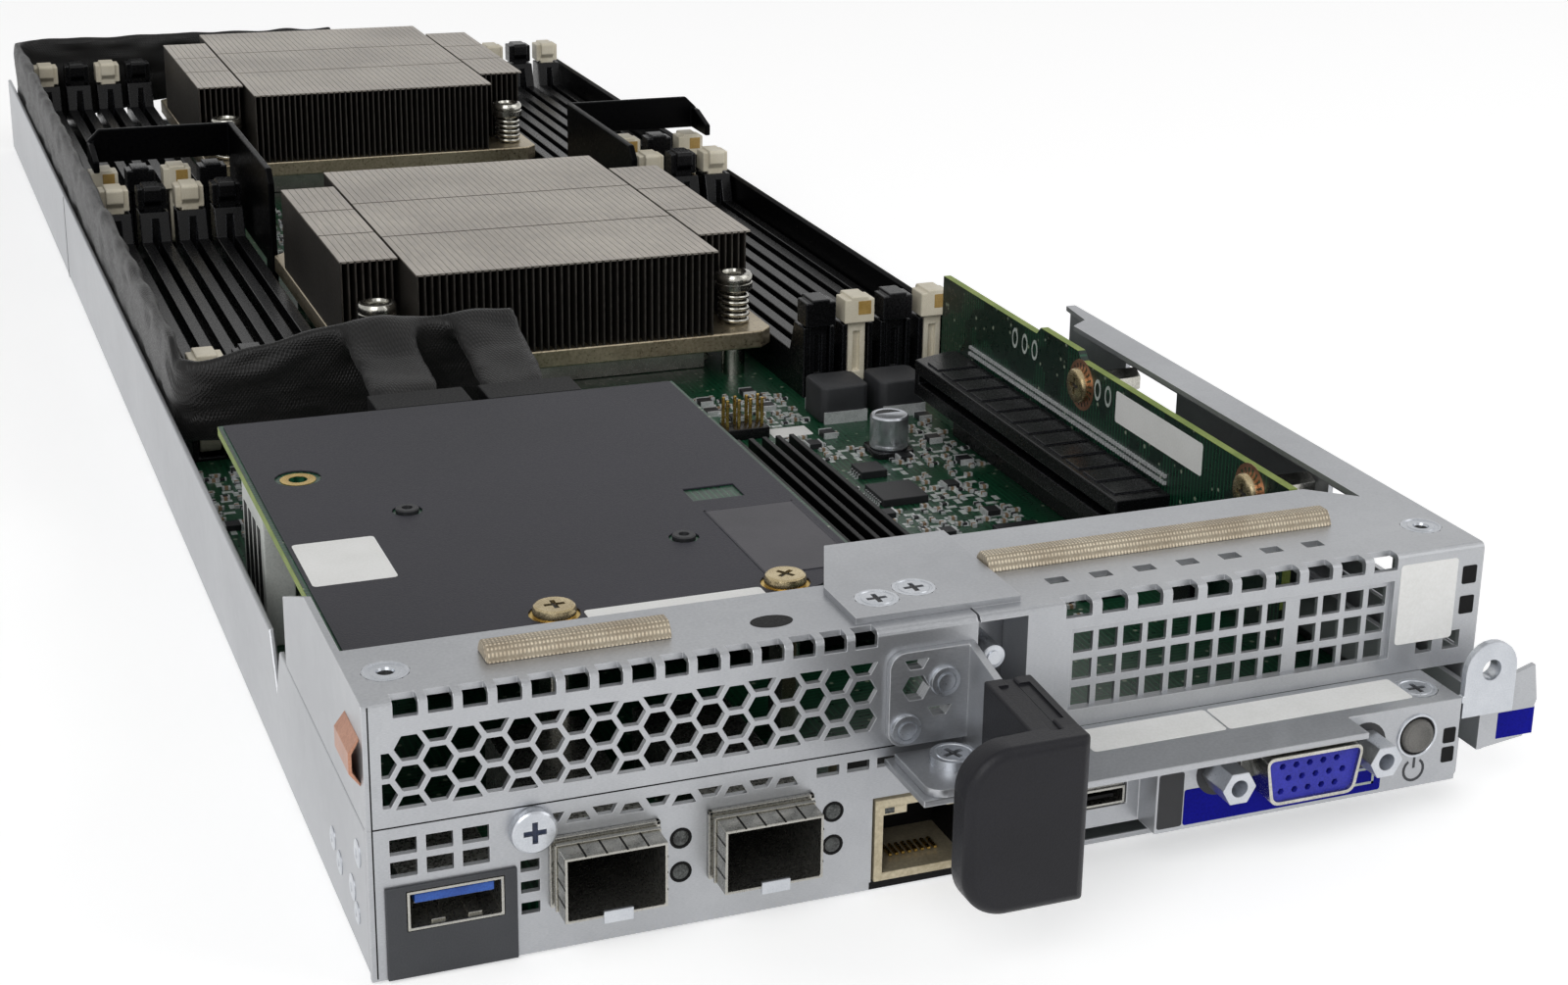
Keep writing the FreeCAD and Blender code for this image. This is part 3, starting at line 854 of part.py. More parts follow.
def build_mezzanine():
    low, edge = "card_top-card_thick", "film_edge"
    small = [(f"small_screw_x+small_screw_step*{k}", f"small_screw_y-small_screw_shift*{k}")
             for k in (0, 1)]
    holes = [ring(x, back(y), "shank+screw_fit", 8) for x, y in card_posts() + small]
    outline = span("card_left", back("card_y"), "card_right", back("card_y+card_length"))
    keep("mezzanine_card", plate("mezzanine_card", "xy", [outline] + holes, "card_thick", ("0", "0", low)))
    left, right = f"card_left+{edge}", f"card_right-{edge}"
    near, far = back(f"card_y+{edge}"), back(f"card_y+card_length-{edge}")
    notch = "film_notch"
    film_loop = [(left, near), (f"{right}-2*{notch}", near), (f"{right}-2*{notch}", f"{near}+{notch}"),
                 (f"{right}-{notch}", f"{near}+1.6*{notch}"), (right, f"{near}+1.6*{notch}"), (right, far),
                 (left, far)]
    windows = [rectangle("chip_window_x", back("chip_window_y"), "chip_window_width", "chip_window_length")]
    windows += [ring(x, back(y), "pan_head+film_ring", 16) for x, y in card_posts()]
    windows += [ring(x, back(y), "small_screw_head+film_ring", 12) for x, y in small]
    keep("mezzanine_film", plate("mezzanine_film", "xy", [film_loop] + windows, "film_thick",
                                 ("0", "0", "card_top")))
    heads = []
    fixings = [(spot, "pan_head", "pan_height") for spot in card_posts()[:2]]
    fixings += [(spot, "small_screw_head", "small_screw_height") for spot in small]
    for k, ((x, y), radius, height) in enumerate(fixings):
        head = prism(f"card_screw_head_{k}", (x, back(y), "card_top"), radius, height, "z", 12)
        stem = prism(f"card_screw_stem_{k}", (x, back(y), low), "shank", "card_thick")
        heads.append(fuse(f"card_screw_{k}", head, stem))
    keep("mezzanine_screws", group("mezzanine_screws", *heads))
    rise = f"{low}-{BOARD}"
    stack = block("stack_connector", ("stack_x-stack_width/2", back("stack_y"), BOARD),
                  ("stack_width", "stack_depth", rise))
    clip = block("nylon_clip", ("card_left", back("clip_y"), BOARD), ("clip_width", "clip_length", rise))
    plugs = [block(f"card_plug_{x}", (f"{x}-(plug_width-sleeve_leg_width)/2",
                                      back("card_y+card_length+plug_gap"), "plug_low"),
                   ("plug_width", "plug_depth", "card_top-plug_low"))
             for x in ("sleeve_leg_one_x", "sleeve_leg_two_x")]
    keep("mezzanine_connectors", group("mezzanine_connectors", stack, clip, *plugs))


def build_riser():
    near, far, low, top = back("riser_y"), back("riser_y+riser_length"), "riser_low", "riser_top"
    bump, crest = back("riser_bump_y"), "riser_top+riser_bump"
    bump_end = back("riser_bump_y+riser_bump_length")
    loop = [(near, low), (far, low), (far, top), (f"{bump_end}+riser_bump", top), (bump_end, crest),
            (bump, crest),
            (f"{bump}-riser_bump", top), (near, top)]
    screw_y = [back(f"riser_screw_y+riser_screw_step*{k}") for k in (0, 1)]
    keep("riser_board", plate("riser_board", "yz", [loop]
                              + [ring(y, "riser_screw_z", "shank+screw_fit", 8) for y in screw_y],
                              "riser_thick", ("riser_x", "0", "0")))
    face, start, end = "riser_x-slot_height", back("slot_y"), back("slot_y+slot_length")
    slot_loop = [("riser_x", start), ("riser_x", f"{end}+slot_ramp"),
                 (f"riser_x-slot_ramp", f"{end}+slot_ramp"),
                 (face, end), (face, start)]
    body = plate("slot_body", "xy", [slot_loop], "slot_width", ("0", "0", "slot_z-slot_width/2"))
    groove = block("slot_groove_cut", (f"{face}-cut_over", f"{start}+slot_end", "slot_z-slot_groove/2"),
                   ("slot_height-slot_groove_floor+cut_over", "slot_length-2*slot_end", "slot_groove"))
    keep("riser_slot", cut("riser_slot", body, groove))
    middle, start = "riser_x+riser_thick/2", back("riser_socket_y")
    body = block("riser_socket_body", (f"{middle}-riser_socket_width/2", start, BOARD),
                 ("riser_socket_width", "riser_socket_length", "riser_socket_height"))
    groove = block("riser_socket_cut", ("riser_x-slip_gap", f"{start}-cut_over", "riser_low-slip_gap"),
                   ("riser_thick+2*slip_gap", "riser_socket_length+2*cut_over", "riser_socket_height"))
    keep("riser_socket", cut("riser_socket", body, groove))
    screws = []
    for k, y in enumerate(screw_y):
        head = prism(f"riser_head_{k}", ("riser_x-riser_screw_height", y, "riser_screw_z"),
                     "riser_screw_head",
                     "riser_screw_height", "x", 12)
        stem = prism(f"riser_stem_{k}", ("riser_x", y, "riser_screw_z"), "shank", "riser_thick", "x")
        post = prism(f"riser_post_{k}", ("riser_x+riser_thick", y, "riser_screw_z"), "riser_post_radius",
                     f"{INNER}-riser_x-riser_thick", "x")
        screws.append(fuse(f"riser_screw_{k}", head, stem, post))
    keep("riser_screws", group("riser_screws", *screws))


def build_baffles():
    pieces = []
    thick, low, top, bevel, foot = "baffle_thick", "baffle_low", "baffle_top", "baffle_bevel", "baffle_foot"
    y = back("baffle_y")
    near, far = f"{CPU_Y['front']}+sink_length/2+baffle_gap", f"{y}+{thick}"
    for name, side in SIDES.items():
        inner, outer = f"axis_x+{side}*baffle_inner_x", f"axis_x+{side}*baffle_outer_x"
        cross_loop = [(inner, low), (outer, low), (outer, f"{top}-{bevel}"),
                      (f"{outer}-{side}*{bevel}", top), (inner, top)]
        cross = plate(f"baffle_cross_{name}", "xz", [cross_loop], thick, ("0", y, "0"))
        sill = f"{BOARD}+{foot}"
        leg_loop = [(near, BOARD), (f"{near}+{foot}", BOARD), (f"{near}+{foot}", sill),
                    (f"{far}-{foot}", sill),
                    (f"{far}-{foot}", BOARD), (far, BOARD), (far, top), (f"{near}+{bevel}", top),
                    (near, f"{top}-{bevel}")]
        leg = plate(f"baffle_leg_{name}", "yz", [leg_loop], thick,
                    (inner if side > 0 else f"{inner}-{thick}", "0", "0"))
        edge_loop = [(f"{y}-baffle_return", low), (far, low), (far, f"{top}-{bevel}"),
                     (f"{y}-{bevel}", f"{top}-{bevel}"),
                     (f"{y}-baffle_return", f"{low}+{bevel}")]
        edge = plate(f"baffle_edge_{name}", "yz", [edge_loop], thick,
                     (f"{outer}-{thick}" if side > 0 else outer, "0", "0"))
        pieces.append(fuse(f"baffle_{name}", cross, leg, edge))
    keep("air_baffles", group("air_baffles", *pieces))


def build_sleeve():
    """Flat cable sleeve on edge: two legs from the card's plugs, then along the wall and round the back."""
    wall = -number(INNER) + number("sleeve_wall_gap+sleeve_thick/2")
    near, far = number(back("sleeve_leg_y")), number(f"{BACK}-sheet_thick-sleeve_back-sleeve_thick/2")
    start, end, low, turn = (number(text) for text in ("sleeve_leg_two_x+sleeve_leg_width", "sleeve_end_x",
                                                       "sleeve_low", "sleeve_turn"))
    route = [FreeCAD.Vector(x, y, low) for x, y in ((start, near), (wall, near), (wall, far), (end, far))]
    edges, last = [], route[0]
    for corner, after in zip(route[1:-1], route[2:]):
        arrive = corner + (last - corner).normalize() * turn
        leave = corner + (after - corner).normalize() * turn
        middle = corner + (arrive + leave - corner - corner) * (1 - math.sqrt(0.5))
        edges.append(Part.LineSegment(last, arrive).toShape())
        edges.append(Part.Arc(arrive, middle, leave).toShape())
        last = leave
    edges.append(Part.LineSegment(last, route[-1]).toShape())
    half, edge, rise = number("sleeve_thick/2"), number("sleeve_edge"), number("sleeve_height")
    corners = [(-half, edge), (-half, rise - edge), (edge - half, rise), (half - edge, rise),
               (half, rise - edge), (half, edge),
               (half - edge, 0), (edge - half, 0)]
    profile = Part.makePolygon([FreeCAD.Vector(start, near + side, low + height) for side, height in corners
                                + corners[:1]])
    trunk = Part.Wire(edges).makePipeShell([profile], True, False)
    tail, crown, thick = back("sleeve_leg_y"), "sleeve_low+sleeve_height-sleeve_edge", "leg_thick"
    begin = back("card_y+card_length+plug_gap+plug_depth")
    loop = [(begin, "plug_low+leg_start"), (f"{begin}+leg_run", f"{crown}-leg_drop"),
            (tail, f"{crown}-{thick}"), (tail, crown),
            (f"{begin}+leg_run", f"{crown}-leg_drop+{thick}"), (begin, f"plug_low+leg_start+{thick}")]
    legs = [plate(f"sleeve_{left}", "yz", [loop], "sleeve_leg_width", (left, "0", "0"))
            for left in ("sleeve_leg_one_x", "sleeve_leg_two_x")]
    doc.recompute()
    item = doc.addObject("Part::Feature", "cable_sleeve")
    item.Shape = trunk.multiFuse([leg.Shape for leg in legs]).removeSplitter()
    keep("cable_sleeve", item)


def build_trim():
    """Black edge trim folded over the right wall beside the memory banks."""
    top, inner = "wall_height+trim_rise", f"{INNER}-trim_thick"
    loop = [(inner, BOARD), (INNER, BOARD), (INNER, "wall_height"), (SIDE, "wall_height"), (SIDE, top),
            (inner, top)]
    start = back("trim_y")
    trim = plate("wall_trim", "xz", [loop], f"{BACK}-sheet_thick-fit_gap-{start}", ("0", start, "0"))
    soften(trim, "trim_thick", lambda spot, run: abs(run.y) > 0.9 and spot.z > number(top) - 0.01,
           "Chamfer")
    keep("wall_trim", trim)


def write_parts():
    doc.recompute()
    failed = [item.Name for item in doc.Objects if {"Invalid", "Error"} & set(item.State)]
    broken = [label for label, item in nodes.items()
              if item.Shape.isNull() or not item.Shape.isValid() or not item.Shape.Solids]
    if failed or broken:
        raise RuntimeError(f"failed objects {failed}, broken shapes {broken}")
    os.makedirs("parts", exist_ok=True)
    for label, item in nodes.items():
        item.Shape.exportStep(f"parts/{label}.step")
        print(label, len(item.Shape.Solids), round(item.Shape.Volume, 1))


for build in (build_tray, build_panel, build_grille, build_cage, build_cover, build_box, build_handle,
              build_ear_and_lever, build_gaskets_and_fasteners, build_ports, build_video_port_and_button,
              build_board,
              build_processors, build_memory, build_mezzanine, build_riser, build_baffles, build_sleeve,
              build_trim):
    build()
write_parts()
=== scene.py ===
import math
import bmesh
import bpy
from mathutils import Matrix, Vector, noise


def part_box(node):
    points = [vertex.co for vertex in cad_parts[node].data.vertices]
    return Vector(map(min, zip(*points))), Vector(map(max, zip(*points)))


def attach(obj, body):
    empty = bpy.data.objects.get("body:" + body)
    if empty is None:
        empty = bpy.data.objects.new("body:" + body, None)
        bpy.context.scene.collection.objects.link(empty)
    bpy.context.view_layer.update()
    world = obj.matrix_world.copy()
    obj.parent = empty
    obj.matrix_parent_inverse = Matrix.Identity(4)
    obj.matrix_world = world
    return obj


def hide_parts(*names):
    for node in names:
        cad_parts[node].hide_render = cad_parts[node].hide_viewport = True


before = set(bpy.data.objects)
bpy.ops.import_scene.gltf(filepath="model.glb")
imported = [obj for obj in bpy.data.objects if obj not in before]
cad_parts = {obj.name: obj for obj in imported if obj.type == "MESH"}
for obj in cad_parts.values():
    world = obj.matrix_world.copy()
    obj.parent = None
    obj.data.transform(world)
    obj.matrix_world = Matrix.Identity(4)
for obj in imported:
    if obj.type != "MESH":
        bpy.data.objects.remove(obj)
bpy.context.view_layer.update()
mm = 0.001
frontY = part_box("io_panel")[0][1]  # depths below are measured back from the port panel
finishes = {}
print("frame loaded:", len(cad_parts), "nodes")


def raw(x, y, z):
    return Vector((x, y, z)) * mm


def at(x, y, z):
    return raw(x, y, z) + Vector((0, frontY, 0))


def tone(red, green, blue):
    values = [part / 255 for part in (red, green, blue)]
    return tuple(v / 12.92 if v < 0.04 else ((v + 0.055) / 1.055) ** 2.4 for v in values) + (1.0,)


def addNode(tree, kind, links=None, **settings):
    node = tree.nodes.new(kind)
    for key, value in settings.items():
        setattr(node, key, value)
    for key, value in (links or {}).items():
        if isinstance(value, bpy.types.NodeSocket):
            tree.links.new(value, node.inputs[key])
        else:
            node.inputs[key].default_value = value
    return node


def mixColours(tree, share, first, second):
    return addNode(tree, "ShaderNodeMix", {0: share, 6: first, 7: second}, data_type="RGBA").outputs[2]


def remap(tree, value, low, high, start=0.3, end=0.7):
    return addNode(tree, "ShaderNodeMapRange", {"Value": value, "From Min": start, "From Max": end,
                                                "To Min": low, "To Max": high}).outputs["Result"]


def bands(tree, place, period, direction):
    return addNode(tree, "ShaderNodeTexWave", {"Vector": place, "Scale": math.pi / (10 * period * mm),
                                               "Distortion": 0.0}, bands_direction=direction).outputs["Fac"]


# each finish: two tones, the grain sizes in mm, roughness range, a pattern where the real one has it, and an
# edge colour that paints a highlight along the edges
finishLooks = {
    "galvanised_steel": {"tones": ((168, 170, 174), (190, 192, 195)), "metal": 0.8, "rough": (0.32, 0.42),
                         "broad": 46, "fine": 0.5, "stretch": (1, 1, 5), "bump": 0.03, "pattern": "spangle",
                         "edge": (216, 217, 218)},
    "black_plastic": {"tones": ((26, 26, 30), (34, 34, 39)), "rough": (0.34, 0.48), "shine": 0.25,
                      "broad": 16, "fine": 0.28, "bump": 0.12, "edge": (56, 56, 60)},
    "gloss_black": {"tones": ((3, 3, 4), (7, 7, 8)), "rough": (0.26, 0.4), "shine": 0.04, "broad": 30,
                    "fine": 0.8, "bump": 0.04, "edge": (48, 50, 54)},
    "copper": {"tones": ((164, 116, 94), (196, 148, 124)), "metal": 0.85, "rough": (0.28, 0.42), "broad": 6,
               "fine": 0.4, "bump": 0.05},
    "conductive_fabric": {"tones": ((204, 189, 165), (244, 232, 208)), "metal": 0.4, "rough": (0.42, 0.6),
                          "broad": 8, "fine": 0.5, "bump": 0.6, "pattern": "weave", "period": 0.55},
    "nickel": {"tones": ((166, 164, 156), (204, 202, 194)), "metal": 1.0, "rough": (0.16, 0.28), "broad": 6,
               "fine": 0.3, "bump": 0.03},
    "zinc_screw": {"tones": ((190, 194, 200), (208, 211, 216)), "metal": 0.9, "rough": (0.27, 0.34),
                   "broad": 4, "fine": 0.25, "bump": 0.02},
    "dark_bezel": {"tones": ((46, 48, 52), (60, 62, 66)), "rough": (0.42, 0.56), "broad": 12, "fine": 0.25,
                   "bump": 0.1, "edge": (92, 94, 98)},
    "jack_metal": {"tones": ((176, 164, 136), (210, 199, 172)), "metal": 0.55, "rough": (0.3, 0.44),
                   "broad": 8, "fine": 0.5, "bump": 0.06},
    "cage_metal": {"tones": ((158, 157, 152), (180, 179, 174)), "metal": 0.95, "rough": (0.22, 0.36),
                   "broad": 9, "fine": 0.5, "bump": 0.05, "edge": (214, 208, 190)},
    "led_lens": {"tones": ((40, 42, 42), (92, 96, 94)), "rough": (0.16, 0.3), "broad": 2, "fine": 0.3,
                 "bump": 0.03},
    "port_blue": {"tones": ((34, 38, 146), (52, 56, 182)), "rough": (0.34, 0.46), "shine": 0.35, "broad": 9,
                  "fine": 0.3, "bump": 0.05},
    "tongue_blue": {"tones": ((30, 74, 160), (52, 104, 196)), "rough": (0.3, 0.42), "broad": 5, "fine": 0.3,
                    "bump": 0.05},
    "button_grey": {"tones": ((90, 89, 86), (116, 114, 110)), "rough": (0.4, 0.52), "broad": 4,
                    "fine": 0.2, "bump": 0.06},
    "board_green": {"tones": ((10, 46, 30), (18, 66, 42)), "rough": (0.26, 0.42), "broad": 30, "fine": 1.1,
                    "bump": 0.1, "pattern": "tracks"},
    "riser_green": {"tones": ((7, 26, 20), (12, 40, 30)), "rough": (0.24, 0.38), "broad": 26, "fine": 1.1,
                    "bump": 0.08, "pattern": "tracks"},
    "board_edge": {"tones": ((112, 134, 52), (150, 166, 84)), "rough": (0.5, 0.66), "broad": 6, "fine": 0.3,
                   "bump": 0.1},
    "chip_black": {"tones": ((20, 21, 23), (34, 35, 38)), "rough": (0.42, 0.58), "broad": 10, "fine": 0.2,
                   "bump": 0.08, "edge": (58, 59, 62)},
    "socket_black": {"tones": ((7, 7, 8), (15, 15, 17)), "rough": (0.22, 0.36), "shine": 0.28, "broad": 18,
                     "fine": 0.5, "bump": 0.05, "edge": (80, 82, 88)},
    "choke_grey": {"tones": ((34, 35, 38), (50, 51, 54)), "rough": (0.5, 0.66), "broad": 6, "fine": 0.2,
                   "bump": 0.1, "edge": (80, 81, 84)},
    "black_fins": {"tones": ((5, 5, 6), (11, 11, 12)), "rough": (0.3, 0.46), "shine": 0.1, "broad": 14,
                   "fine": 0.4, "bump": 0.06, "edge": (40, 41, 44)},
    "fin_aluminium": {"tones": ((162, 155, 147), (194, 187, 177)), "metal": 0.8, "rough": (0.34, 0.48),
                      "broad": 34, "fine": 0.6, "stretch": (1, 0.15, 1), "bump": 0.04},
    # fin plates: the same aluminium, painted darker as shade between the close fins
    "fin_shade": {"tones": ((66, 63, 60), (88, 84, 79)), "metal": 0.8, "rough": (0.36, 0.5), "broad": 30,
                  "fine": 0.6, "bump": 0.04},
    "base_plate": {"tones": ((160, 146, 122), (198, 186, 160)), "metal": 0.9, "rough": (0.26, 0.4),
                   "broad": 16, "fine": 0.6, "bump": 0.05, "edge": (222, 212, 188)},
    "cpu_lid": {"tones": ((158, 158, 156), (190, 190, 188)), "metal": 0.9, "rough": (0.3, 0.44),
                "broad": 14, "fine": 0.5, "bump": 0.04},
    "latch_plastic": {"tones": ((212, 203, 180), (232, 225, 206)), "rough": (0.36, 0.5), "broad": 6,
                      "fine": 0.25, "bump": 0.05, "edge": (240, 234, 218)},
    "latch_inset": {"tones": ((158, 126, 62), (188, 156, 92)), "rough": (0.4, 0.52), "broad": 3, "fine": 0.2,
                    "bump": 0.05},
    "film_charcoal": {"tones": ((37, 37, 44), (48, 47, 56)), "rough": (0.42, 0.54), "shine": 0.24,
                      "broad": 60, "fine": 0.35, "bump": 0.14, "edge": (84, 82, 88)},
    "film_window": {"tones": ((62, 61, 66), (76, 74, 80)), "rough": (0.36, 0.5), "shine": 0.3, "broad": 12,
                    "fine": 0.3, "bump": 0.06},
    "gold_screw": {"tones": ((180, 162, 124), (216, 200, 162)), "metal": 0.95, "rough": (0.22, 0.34),
                   "broad": 4, "fine": 0.25, "bump": 0.05},
    "gold_contact": {"tones": ((178, 146, 74), (216, 186, 110)), "metal": 1.0, "rough": (0.22, 0.36),
                     "broad": 3, "fine": 0.3, "bump": 0.03},
    "cable_fabric": {"tones": ((9, 9, 9), (24, 22, 21)), "rough": (0.34, 0.52), "shine": 0.3, "broad": 14,
                     "fine": 0.6, "bump": 0.35, "pattern": "braid", "period": 0.5, "sheen": 0.08},
    "label_paper": {"tones": ((240, 240, 237), (250, 250, 248)), "rough": (0.5, 0.62), "broad": 9,
                    "fine": 0.4, "bump": 0.03},
    "label_blue": {"tones": ((6, 8, 124), (13, 17, 152)), "rough": (0.34, 0.46), "shine": 0.08, "broad": 12,
                   "fine": 0.4, "bump": 0.03},
    "nylon_natural": {"tones": ((184, 188, 184), (208, 211, 206)), "rough": (0.4, 0.55), "broad": 6,
                      "fine": 0.3, "bump": 0.05, "edge": (226, 228, 224)},
    "ceramic_tan": {"tones": ((122, 98, 74), (160, 136, 108)), "rough": (0.4, 0.55), "broad": 2,
                    "fine": 0.3, "bump": 0.05},
    "solder_silver": {"tones": ((192, 195, 196), (224, 226, 227)), "metal": 0.35, "rough": (0.26, 0.42),
                      "broad": 2, "fine": 0.25, "bump": 0.08},
    "port_dark": {"tones": ((5, 5, 6), (13, 13, 14)), "rough": (0.4, 0.6), "shine": 0.15, "broad": 5,
                  "fine": 0.4, "bump": 0.05},
    # floor of the panel screw's cross: painted shade, tinted blue
    "recess_blue": {"tones": ((24, 32, 54), (38, 50, 78)), "rough": (0.4, 0.55), "broad": 2, "fine": 0.3,
                    "bump": 0.03},
    "mark_dark": {"tones": ((44, 46, 50), (58, 60, 64)), "rough": (0.5, 0.6), "broad": 3, "fine": 0.3,
                  "bump": 0.02},
    "mark_pale": {"tones": ((168, 176, 170), (196, 204, 198)), "rough": (0.5, 0.62), "broad": 3, "fine": 0.3,
                  "bump": 0.02},
}
# sizes and colours of the patterns; the mixes are strength from and to, then the range they are read over
patternLooks = {"toneMix": (0.0, 1.0, 0.75, 1.25), "crystals": 420.0, "crystalShare": 0.16,
                "thread": (74, 64, 50), "threadMix": (0.6, 0.0, 0.1, 0.7), "braidTurn": (0.78, 0.0, 0.78),
                "braid": (4, 4, 4), "braidMix": (0.7, 0.0, 0.5, 1.0), "trackPatch": 85.0, "trackPitch": 1.1,
                "track": (34, 100, 68), "patchMix": (0.0, 1.0, 0.49, 0.51), "trackMix": (0.0, 0.55, 0.7, 0.9),
                "vias": 340.0, "via": (150, 160, 140), "viaMix": (0.85, 0.0, 0.1, 0.16), "edgeRadius": 0.25,
                "edgeMix": (0.7, 0.0, 0.8, 0.985), "relief": 0.3}


def makeFinish(name, look):
    finish = bpy.data.materials.new(name + "_finish")
    finish.use_nodes = True
    tree = finish.node_tree
    shader = tree.nodes["Principled BSDF"]
    spot = addNode(tree, "ShaderNodeTexCoord").outputs["Object"]
    place = addNode(tree, "ShaderNodeMapping", {"Vector": spot,
                                                "Scale": look.get("stretch", (1, 1, 1))}).outputs[0]
    broad = addNode(tree, "ShaderNodeTexNoise", {"Vector": spot, "Scale": 1000 / look["broad"],
                                                 "Detail": 3.0}).outputs["Fac"]
    fine = addNode(tree, "ShaderNodeTexNoise", {"Vector": place, "Scale": 1000 / look["fine"],
                                                "Detail": 4.0}).outputs["Fac"]
    mixed = addNode(tree, "ShaderNodeMath", {0: broad, 1: fine}, operation="ADD").outputs[0]
    share = remap(tree, mixed, *patternLooks["toneMix"])
    height = fine
    low, high = [tone(*part) for part in look["tones"]]
    pattern = look.get("pattern")
    if pattern == "spangle":  # zinc crystals, each a very little lighter or darker
        cell = addNode(tree, "ShaderNodeTexVoronoi",
                       {"Vector": spot, "Scale": patternLooks["crystals"]}).outputs["Color"]
        grey = addNode(tree, "ShaderNodeSeparateColor", {"Color": cell}).outputs[0]
        share = addNode(tree, "ShaderNodeMix",
                        {0: patternLooks["crystalShare"], 2: share, 3: grey}).outputs[0]
    colour = mixColours(tree, share, low, high)
    if pattern == "weave":  # crossing threads
        first, second = bands(tree, spot, look["period"], "X"), bands(tree, spot, look["period"], "Y")
        height = addNode(tree, "ShaderNodeMath", {0: first, 1: second}, operation="MULTIPLY").outputs[0]
        gaps = remap(tree, height, *patternLooks["threadMix"])
        colour = mixColours(tree, gaps, colour, tone(*patternLooks["thread"]))
    if pattern == "braid":  # two sets of strands at an angle
        turned = addNode(tree, "ShaderNodeMapping",
                         {"Vector": spot, "Rotation": patternLooks["braidTurn"]}).outputs[0]
        first, second = bands(tree, turned, look["period"], "X"), bands(tree, turned, look["period"], "Y")
        height = addNode(tree, "ShaderNodeMath", {0: first, 1: second}, operation="MAXIMUM").outputs[0]
        gaps = remap(tree, height, *patternLooks["braidMix"])
        colour = mixColours(tree, gaps, colour, tone(*patternLooks["braid"]))
    if pattern == "tracks":  # copper tracks under the mask in both directions, and pale vias
        patch = addNode(tree, "ShaderNodeTexNoise", {"Vector": spot, "Scale": patternLooks["trackPatch"],
                                                     "Detail": 1.0}).outputs["Fac"]
        along, across = [bands(tree, spot, patternLooks["trackPitch"], way) for way in ("X", "Y")]
        track = mixColours(tree, remap(tree, patch, *patternLooks["patchMix"]), along, across)
        lines = remap(tree, track, *patternLooks["trackMix"])
        colour = mixColours(tree, lines, colour, tone(*patternLooks["track"]))
        dots = addNode(tree, "ShaderNodeTexVoronoi",
                       {"Vector": spot, "Scale": patternLooks["vias"]}).outputs["Distance"]
        vias = remap(tree, dots, *patternLooks["viaMix"])
        colour = mixColours(tree, vias, colour, tone(*patternLooks["via"]))
        height = lines
    if "edge" in look:  # painted highlight along the edges, where the surface turns away
        rounded = addNode(tree, "ShaderNodeBevel", {"Radius": patternLooks["edgeRadius"] * mm},
                          samples=4).outputs[0]
        plain = addNode(tree, "ShaderNodeNewGeometry").outputs["Normal"]
        same = addNode(tree, "ShaderNodeVectorMath", {0: rounded, 1: plain}, operation="DOT_PRODUCT")
        edgeHighlight = remap(tree, same.outputs["Value"], *patternLooks["edgeMix"])
        colour = mixColours(tree, edgeHighlight, colour, tone(*look["edge"]))
    tree.links.new(colour, shader.inputs["Base Color"])
    tree.links.new(remap(tree, fine, *look["rough"]), shader.inputs["Roughness"])
    shader.inputs["Metallic"].default_value = look.get("metal", 0.0)
    shader.inputs["Specular IOR Level"].default_value = look.get("shine", 0.5)
    if "sheen" in look:
        shader.inputs["Sheen Weight"].default_value = look["sheen"]
    relief = addNode(tree, "ShaderNodeBump", {"Height": height, "Strength": look["bump"],
                                              "Distance": patternLooks["relief"] * mm})
    tree.links.new(relief.outputs[0], shader.inputs["Normal"])
    return finish


for finishName, finishLook in finishLooks.items():
    finishes[finishName] = makeFinish(finishName, finishLook)
print("finishes made:", len(finishes))


def dressed(mesh, *looks):
    for look in looks:
        mesh.materials.append(finishes[look])
    return mesh


def putPiece(name, mesh, looks, body="sled", nodes=(), smooth=0):
    mesh.name = name
    dressed(mesh, *([looks] if isinstance(looks, str) else looks or ()))
    if smooth:
        mesh.shade_smooth()
        mesh.set_sharp_from_angle(angle=math.radians(smooth))
    piece = bpy.data.objects.new(name, mesh)
    bpy.context.scene.collection.objects.link(piece)
    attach(piece, body)
    if nodes:
        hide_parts(*nodes)


def meshOf(shape):
    mesh = bpy.data.meshes.new("shape")
    shape.to_mesh(mesh)
    shape.free()
    return mesh


def copyOf(node):
    # facets of the CAD mesh joined to whole faces
    clean = {"weld": 2e-6, "flat": 1.5}
    shape = bmesh.new()
    shape.from_mesh(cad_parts[node].data)
    bmesh.ops.remove_doubles(shape, verts=shape.verts, dist=clean["weld"])
    bmesh.ops.dissolve_limit(shape, angle_limit=math.radians(clean["flat"]), verts=shape.verts,
                             edges=shape.edges)
    for face in shape.faces:
        face.material_index = 0
    return shape


def roundEdges(shape, edges, radius, segments=4):
    bmesh.ops.bevel(shape, geom=edges, offset=radius * mm, segments=segments, profile=0.5, affect="EDGES",
                    clamp_overlap=True)


def bevelEdges(shape, width, segments=2):
    least = math.radians(28)  # flatter edges stay as they are
    sharp = [edge for edge in shape.edges if len(edge.link_faces) == 2
             and edge.calc_face_angle(0.0) > least]
    roundEdges(shape, sharp, width, segments)


def mergeIn(shape, part, look=None):
    if look is not None:
        for face in part.faces:
            face.material_index = look
    spare = bpy.data.meshes.new("spare")
    part.to_mesh(spare)
    part.free()
    shape.from_mesh(spare)
    bpy.data.meshes.remove(spare)


def addBox(shape, low, high, look=0, width=0.0, place=at):
    part = bmesh.new()
    start, end = place(*map(min, low, high)), place(*map(max, low, high))
    bmesh.ops.create_cube(part, size=1.0, matrix=Matrix.Translation((start + end) / 2)
                          @ Matrix.Diagonal((end - start).to_4d()))
    if width:
        bevelEdges(part, width)
    mergeIn(shape, part, look)


def addBoxes(shape, rows, shifts=((0, 0, 0),)):
    # rows: low corner, high corner, finish number and edge width; every row is set at every shift
    for low, high, look, width in rows:
        for shift in shifts:
            addBox(shape, Vector(low) + Vector(shift), Vector(high) + Vector(shift), look, width)


def facing(x, y, z):
    return x, z, y  # outline stands upright, thickness runs back


def sideways(y, z, x):
    return x, y, z  # outline stands upright, thickness runs across


